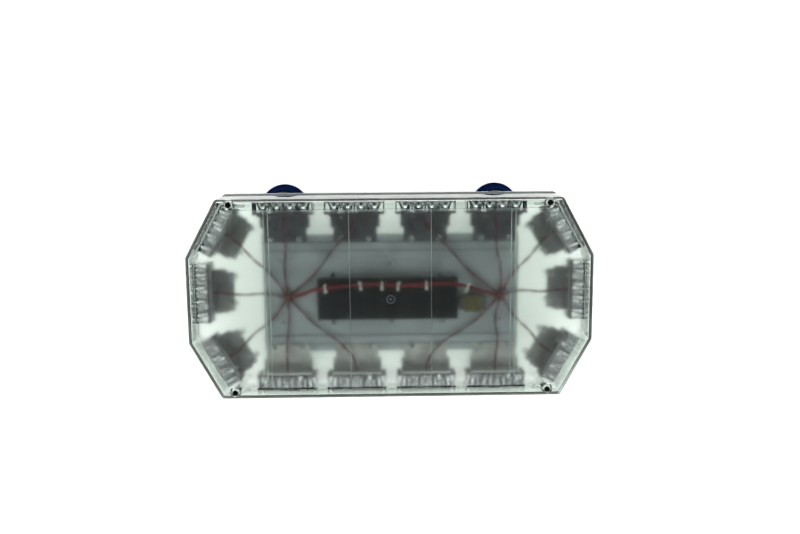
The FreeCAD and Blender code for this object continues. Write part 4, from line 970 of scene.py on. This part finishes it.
def build_case():
    """Black cover, open below, with four bare metal lugs."""
    middle = (CASE_LOW + CASE_HIGH) / 2
    size = CASE_HIGH - CASE_LOW
    size.y -= 2 * LUG_REACH
    outside = rounded_box("outside", size, 0.8 * MM, middle)
    room = size - Vector((2, 2, 1)) * CASE_WALL
    inside = rounded_box("inside", room, 0.5 * MM, middle - UP * (CASE_WALL / 2 + 0.01 * MM))
    parts = [(cut(outside, inside), STILL, 0)]
    reach = size.y / 2 + LUG_REACH / 2
    for x in (-LUG_OFFSET, LUG_OFFSET):
        for sign in (-1, 1):
            centre = (middle.x + x, middle.y + sign * reach, CASE_LOW.z + CASE_WALL / 2)
            lug = rounded_box("lug", (LUG_WIDTH, LUG_REACH, CASE_WALL), 0.3 * MM, centre)
            parts.append((lug, STILL, 1))
    case = join_meshes("driver_cover", parts)
    add_piece("driver_cover", case, "black_case", BLACK_PLASTIC, CARRIER, node="driver_case")


def build_choke():
    """Tape-wrapped winding with overlapping turns of tape, and a ferrite core through it."""
    centre = middle_of("filter_choke")
    wound = Vector((18 * MM, 17 * MM, 13 * MM))
    parts = []
    turns = 5
    for i in range(turns):
        x = centre.x + (i - (turns - 1) / 2) * wound.x / turns * 0.98
        grow = (i % 2) * 0.25 * MM
        size = (wound.x / turns + 0.4 * MM, wound.y - 0.6 * MM + grow, wound.z - 0.6 * MM + grow)
        parts.append((rounded_box("turn", size, 1.6 * MM, (x, centre.y, centre.z)), STILL, 0))
    core = rounded_box("core", (27 * MM, 12 * MM, 9 * MM), 0.8 * MM, tuple(centre))
    mesh = join_meshes("choke_detail", parts + [(core, STILL, 1)])
    add_piece("choke_detail", mesh, "choke_tape", TAPE, FERRITE, node="filter_choke")


def lead_route(hub, target, inward, sag):
    """The same route as the lead's CAD tube."""
    approach = target + inward * 14 * MM
    direction = Vector((approach.x - hub.x, approach.y - hub.y, 0))
    outward = direction.normalized()
    sideways = Vector((-outward.y, outward.x, 0))
    start = hub + outward * SPLICE_INSIDE
    third = hub + direction * 0.36 + sideways * sag * MM
    second = hub + direction * 0.7 - sideways * sag * 0.4 * MM
    lift = target.z - hub.z
    third.z = hub.z + lift * 0.15
    second.z = hub.z + lift * 0.6
    return [start, third, second, approach, target]


def pair_of_wires(name, route, gap=0.6 * MM, radius=0.56 * MM, turns=2.5):
    """A red and a black wire that turn slowly about one route."""
    line = route_line(route)
    frames = directions(line)
    parts = []
    for colour, phase in ((0, 0.0), (1, math.pi)):
        shifted = [
            beside(point, axes, phase + turns * 2 * math.pi * i / len(line), gap)
            for i, (point, axes) in enumerate(zip(line, frames))
        ]
        parts.append((tube_mesh("wire", shifted, radius), STILL, colour))
    return join_meshes(name, parts, 60)


SAGS = {
    "rear_1": 3, "rear_2": -5, "rear_3": 5, "rear_4": -3,
    "front_1": 2, "front_2": -4, "front_3": 6, "front_4": -5,
    "left": -3, "right": 4,
    "front_left": 5, "front_right": -3, "rear_left": -4, "rear_right": 4,
}
SPLICE_LEFT, SPLICE_RIGHT = SPLICE_LOW.x + SPLICE_RADIUS, SPLICE_HIGH.x - SPLICE_RADIUS
SPLICE_Y = (SPLICE_LOW.y + SPLICE_HIGH.y) / 2


def build_leads():
    for label, sign, x in (("left", -1, SPLICE_LEFT), ("right", 1, SPLICE_RIGHT)):
        hub = Vector((x, SPLICE_Y, PLATFORM_TOP + 2.6 * MM))
        parts = []
        for name, matrix in MODULES.items():
            if matrix.translation.x * sign < 0:
                continue
            target = matrix @ Vector((0, 0, 4 * MM))
            inward = (matrix.to_3x3() @ Vector((0, -1, 0))).normalized()
            route = lead_route(hub, target, inward, SAGS[name])
            parts.append((pair_of_wires("pair", route), STILL, None))
        mesh = join_meshes("leads", parts, 60)
        node = f"{label}_leads"
        add_piece(f"{label}_lead_pairs", mesh, "wire_red", LEAD_RED, BLACK_WIRE, node=node)
    build_splice_caps()


def build_splice_caps():
    low, high, radius = SPLICE_LOW.z, SPLICE_HIGH.z, SPLICE_RADIUS
    profile = [(AXIS, low), (radius, low), (radius, high - 1.5 * MM), (radius * 0.75, high), (AXIS, high)]
    cap = lathe("cap", rounded_profile(profile, 1.2 * MM), 36)
    parts = [(cap, Matrix.Translation((x, SPLICE_Y, 0)), 0) for x in (SPLICE_LEFT, SPLICE_RIGHT)]
    vinyl = moulded("splice_cap", (0.035, 0.008, 0.008), (0.07, 0.014, 0.014))
    add_piece("splice_caps", join_meshes("splice_caps", parts), "splice_cap", vinyl, node="lead_splices")


def trunk_route():
    low, high, y = PLATFORM_TOP + 6.4 * MM, CASE_HIGH.z + 3.5 * MM, SPLICE_Y
    start, end = SPLICE_LEFT + SPLICE_INSIDE, SPLICE_RIGHT - SPLICE_INSIDE
    points = [
        (start, y + 0.5 * MM, low),
        (start + 11 * MM, y + 3 * MM, low + 2.5 * MM),
        (start + 25 * MM, y + 10 * MM, high),
        (-56 * MM, 9.3 * MM, high + 0.5 * MM),
        (-20 * MM, 11 * MM, high),
        (16 * MM, 9.4 * MM, high + 0.4 * MM),
        (50 * MM, 11 * MM, high),
        (74 * MM, 8.6 * MM, high + 0.6 * MM),
        (92 * MM, 2.5 * MM, low + 4 * MM),
        (end, y + 0.5 * MM, low),
    ]
    return [Vector(point) for point in points]


def build_trunk():
    """Thin wires that wander about one route."""
    line = route_line(trunk_route(), 12)
    frames = directions(line)
    parts = []
    for n in range(11):
        ring = 0 if n == 0 else 1 if n < 5 else 2
        base = random.uniform(0, 2 * math.pi)
        pace = random.uniform(0.6, 1.6)
        spread = (0.2, 1.05, 1.85)[ring] * MM
        shifted = []
        for i, (point, axes) in enumerate(zip(line, frames)):
            t = i / (len(line) - 1)
            angle = base + 2 * math.pi * (n / 5 + pace * t)
            reach = spread * (0.85 + 0.2 * math.sin(9 * t + n))
            shifted.append(beside(point, axes, angle, reach))
        parts.append((tube_mesh("wire", shifted, 0.6 * MM), STILL, 1 if n in (3, 7) else 0))
    mesh = join_meshes("trunk_wires", parts, 60)
    add_piece("trunk_wires", mesh, "wire_red", RED_WIRE, BLACK_WIRE, node="trunk_harness")
    build_ties(line, frames)


TIES_X = (-66 * MM, -30 * MM, -9.5 * MM, 7.5 * MM, 37 * MM, 76 * MM)
TAILS = (12, -20, 4, 24, -6, 14)


def build_ties(line, frames):
    """Nylon ties round the bundle: band, lock with its slot, and a tail back over the wires."""
    parts = []
    band = lathe("band", in_mm([(2.75, -1.1), (3.05, -1.1), (3.05, 1.1), (2.75, 1.1)]), 32, loop=True)
    lock = rounded_box("lock", (3.0 * MM, 2.8 * MM, 3.4 * MM), 0.4 * MM, (4.3 * MM, 0, 0))
    slot = rounded_box("slot", (1.4 * MM, 0.5 * MM, 2.0 * MM), 0.1 * MM, (4.4 * MM, 1.3 * MM, 0), 2)
    for x, swing in zip(TIES_X, TAILS):
        i = min(range(len(line)), key=lambda k: abs(line[k].x - x))
        ahead, side, rise = frames[i]
        place = Matrix.Translation(line[i]) @ Matrix((side, rise, ahead)).transposed().to_4x4()
        parts += [(band, place, 0), (lock, place, 0), (slot, place, 0)]
        drift = math.sin(math.radians(swing)) * 6
        tail = [(4.4, 1.4, 0), (3.4, 2.7, 0), (1.0, 3.5, 0), (-1.6, 3.8, drift * 0.5), (-4.2, 3.6, drift)]
        tail = route_line([Vector(point) * MM for point in tail], 5)
        parts.append((strap_mesh([place @ p for p in tail], ahead), STILL, 0))
    mesh = join_meshes("tie_set", parts)
    add_piece("tie_set", mesh, "white_nylon", WHITE_PLASTIC, node="harness_ties")


def strap_mesh(line, across):
    """A flat strap along a line, as wide as a tie's tail."""
    wide, thick = 0.75 * MM, 0.4 * MM
    rings = []
    for i, point in enumerate(line):
        ahead = (line[min(i + 1, len(line) - 1)] - line[max(i - 1, 0)]).normalized()
        face = ahead.cross(across).normalized()
        width = face.cross(ahead)
        corners = ((-wide, -thick), (wide, -thick), (wide, thick), (-wide, thick))
        rings.append([point + width * u + face * v for u, v in corners])
    return rings_mesh("strap", rings, smooth=30)


# ---- screws and floor fittings
def screw_mesh(radius, shank, head, rise=HEAD_RISE):
    """A pan head screw with a domed head, cross recess and thread rings; head up from z 0."""
    angles = [math.radians(a) for a in range(20, 91, 14)]
    profile = [(AXIS, rise)]
    profile += [(head * math.sin(a), rise * (0.45 + 0.55 * math.cos(a))) for a in angles]
    profile += [(head, rise * 0.4), (head, 0.1 * MM), (head - 0.1 * MM, 0), (radius, 0)]
    pitch = 0.6 * MM
    z = -pitch
    while z > -shank + pitch:
        profile += [(radius, z), (radius * 0.84, z - pitch / 2)]
        z -= pitch
    profile += [(radius * 0.8, -shank + 0.2 * MM), (AXIS, -shank)]
    body = lathe("screw", profile, 24)
    for long, wide in ((1.1, 0.24), (0.24, 1.1)):
        size = (head * long, head * wide, rise)
        body = cut(body, rounded_box("slot", size, 0.05 * MM, (0, 0, rise * 0.95), 1))
    tidy_mesh(body, 32)
    return body


def spread_out(name, mesh, places, node, material=SCREW_STEEL, slot="screw_steel", smooth=32):
    """One piece from copies of a mesh at several places."""
    copies = join_meshes(name, [(mesh, place, 0) for place in places], smooth)
    add_piece(name, copies, slot, material, node=node)


def turned(x, y, z, angle):
    return Matrix.Translation((x, y, z)) @ Matrix.Rotation(angle, 4, "Z")


def build_screws():
    seat = SCREW_HIGH.z - HEAD_RISE
    long_screw = screw_mesh(1.5 * MM, SCREW_HIGH.z - SCREW_LOW.z - HEAD_RISE, HEAD_RADIUS)
    places = [turned(sx * SCREW_X, sy * SCREW_Y, seat, 0.4 + i) for i, (sx, sy) in enumerate(SIGNS)]
    spread_out("cover_screw_set", long_screw, places, "lens_screws", BLACK_STEEL)
    places = [
        turned(sx * CARRIER_POST_X, sy * CARRIER_POST_Y, PLATFORM_TOP, sx + sy * 0.6)
        for sx in (-1, 0, 1) for sy in (-1, 1)
    ]
    for i, (name, matrix) in enumerate(MODULES.items()):
        y = SIDE_SCREW_Y if name[-1].isdigit() else CORNER_SCREW_Y
        for side in (-1, 1):
            point = matrix @ Vector((side * BRACKET_SCREW_X, y, 0))
            places.append(turned(point.x, point.y, PLATFORM_TOP + BRACKET_THICK, i * 1.3 + side))
    short = screw_mesh(1.5 * MM, 8 * MM, HEAD_RADIUS)
    spread_out("chassis_screw_set", short, places, "chassis_screws")
    places = [
        matrix @ Matrix.Translation((side * LACE_X, 6 * MM, -side * LACE_Z)) @ Z_TO_Y
        for matrix in MODULES.values()
        for side in (-1, 1)
    ]
    lace = screw_mesh(1.25 * MM, 10 * MM, 2.25 * MM)
    spread_out("module_screw_set", lace, places, "module_screws")


def build_fittings():
    carry("lens_gasket", GASKET_RUBBER, 0)
    carry("heatsink_platform", CARRIER, 0.3 * MM)
    low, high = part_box("cable_grommet")
    radius, bottom, top = (high.x - low.x) / 2, low.z, high.z
    profile = [(AXIS, top - MM), (3.3 * MM, top - MM), (3.3 * MM, bottom), (radius - 2.5 * MM, bottom)]
    profile += [(radius, bottom + 1.2 * MM), (radius, bottom + 2 * MM), (7 * MM, bottom + 2 * MM)]
    profile += [(7 * MM, top - 2 * MM), (radius, top - 2 * MM), (radius - MM, top), (AXIS, top)]
    add_fitting("grommet_detail", profile, 0.5 * MM, "cable_grommet", BLACK_RUBBER, "black_rubber")
    low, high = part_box("vent_plug")
    radius, bottom, top = (high.x - low.x) / 2, low.z, high.z
    profile = [(AXIS, bottom + 0.5 * MM), (2 * MM, bottom + 0.5 * MM), (2.4 * MM, bottom)]
    profile += [(radius - 0.6 * MM, bottom), (radius, bottom + 0.8 * MM), (radius, bottom + 2 * MM)]
    profile += [(4 * MM, bottom + 2 * MM), (4 * MM, top - 2 * MM)]
    profile += [(4.8 * MM, top - 2 * MM), (4.2 * MM, top), (AXIS, top)]
    add_fitting("vent_detail", profile, 0.3 * MM, "vent_plug", BLACK_PLASTIC, "black_case")


def add_fitting(name, profile, rounding, node, material, slot):
    """A turned fitting of the tray's floor."""
    centre = middle_of(node)
    mesh = drum(centre.x, centre.y, rounded_profile(profile, rounding), 48)
    add_piece(name, mesh, slot, material, node=node)


# ---- feet
def cup_profile():
    """Rubber cup: thin lip, ribbed skirt, collar round the pot, and a hollow underside."""
    low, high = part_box("suction_cup_front_left")
    lip, top = (high.x - low.x) / 2 / MM, high.z / MM
    return in_mm([
        (18, 2.6), (21, 2.6), (24.2, 0.9), (lip - 0.9, 0.0), (lip - 0.2, 0.0), (lip, 0.5),
        (lip - 0.1, 1.4), (24.6, 2.4), (24.3, 3.0), (23.6, 3.1), (22.6, 5.0), (22.0, 5.3),
        (21.2, 7.2), (20.2, 8.6), (19.9, 9.4), (20.0, 10.2), (20.0, top - 0.5), (19.5, top),
        (18.4, top), (18, top - 0.4),
    ])


def build_feet():
    profile = rounded_profile(cup_profile(), 0.6 * MM, 3)[:-1]
    rubber = lathe("rubber", profile, 96, loop=True)
    pot = pot_mesh()
    for (sx, sy), place in zip(SIGNS, FOOT_PLACES):
        name = f"{'front' if sy < 0 else 'rear'}_{'left' if sx < 0 else 'right'}"
        for mesh, node, slot, materials in (
            (rubber, f"suction_cup_{name}", "blue_rubber", (BLUE_RUBBER,)),
            (pot, f"foot_magnet_{name}", "pot_steel", (POT_STEEL, MAGNET)),
        ):
            body = f"foot_{name}"
            add_piece(f"{node}_detail", mesh, slot, *materials, node=node, body=body, place=place)
    build_studs()


def pot_mesh():
    """Steel pot with a socket boss, and the magnet inside behind a narrow gap."""
    mouth = math.acos((15.6 * MM - BALL_LEVEL) / SOCKET_RADIUS)
    steel = in_mm([
        (14.1, 5.4), (14.1, 1.2), (14.4, 1.0), (17.5, 1.0), (17.9, 1.4), (17.9, 11.5),
        (17.4, 12.0), (16.2, 12.0), (15.9, 11.8), (9.6, 11.8), (9.0, 12.4), (8.5, 13.0),
        (8.5, 15.0), (7.9, 15.6),
    ])
    for k in range(9):
        angle = mouth + (math.pi - 0.02 - mouth) * k / 8
        steel.append((SOCKET_RADIUS * math.sin(angle), BALL_LEVEL + SOCKET_RADIUS * math.cos(angle)))
    outer = lathe("pot", steel + [(AXIS, 5.4 * MM)], 72)
    inner = in_mm([(0.0001, 5.3), (13.4, 5.3), (13.4, 1.3), (13.1, 1.0), (0.0001, 1.0)])
    return join_meshes("foot_magnet", [(outer, STILL, 0), (lathe("magnet", inner, 72), STILL, 1)])


def build_studs():
    floor, top = TRAY_LOW.z, STUD_TOP.z
    angles = [math.radians(a) for a in range(12, 157, 12)]
    profile = [(AXIS, BALL_LEVEL - BALL_RADIUS)]
    profile += [(BALL_RADIUS * math.sin(a), BALL_LEVEL - BALL_RADIUS * math.cos(a)) for a in angles]
    profile += [(2 * MM, BALL_LEVEL + 4.7 * MM)]
    profile += in_mm([(2, -2.6), (4.6, -2.5), (5, -2.1), (5, 0), (2.5, 0)], floor)
    pitch = 0.8 * MM
    z = floor + pitch / 2
    while z < top - pitch:
        profile += [(2.5 * MM, z), (2.15 * MM, z + pitch / 2)]
        z += pitch
    stud = lathe("stud", profile + [(2.1 * MM, top), (AXIS, top)], 40)
    spread_out("stud_set", stud, FOOT_PLACES, "ball_studs", ZINC, "zinc_steel", 30)
    spread_out("nut_set", nut_mesh(TRAY_FLOOR), FOOT_PLACES, "stud_nuts", ZINC, "zinc_steel", 30)


def nut_mesh(floor):
    """Washer and chamfered hexagon nut."""
    rim = in_mm([(2.7, 0), (5, 0), (5, 0.9), (4.8, 1), (2.7, 1)], floor)
    washer = lathe("washer", rim, 40, loop=True)
    flats = 8 * MM
    rings = []
    for height, grow in ((0, 0.94), (0.4 * MM, 1.0), (3.6 * MM, 1.0), (4.0 * MM, 0.94)):
        radius = flats / math.sqrt(3) * grow
        angles = [math.pi * k / 3 for k in range(6)]
        z = floor + MM + height
        rings.append([Vector((radius * math.cos(a), radius * math.sin(a), z)) for a in angles])
    bore = in_mm([(2.55, 0), (2.55, 6)], floor)
    return gather("nut", [washer, cut(rings_mesh("hexagon", rings), drum(0, 0, bore))])


def set_render():
    scene = bpy.context.scene
    scene.view_settings.view_transform = "Standard"
    scene.view_settings.look = "Medium High Contrast"
    scene.cycles.max_bounces = 18
    scene.cycles.transmission_bounces = 16
    scene.cycles.glossy_bounces = 6
    scene.cycles.diffuse_bounces = 4
    scene.cycles.transparent_max_bounces = 24


set_render()
build_camera()
build_lights()
build_floor()
build_cover()
build_tray()
build_modules()
build_driver()
build_leads()
build_trunk()
build_screws()
build_fittings()
build_feet()
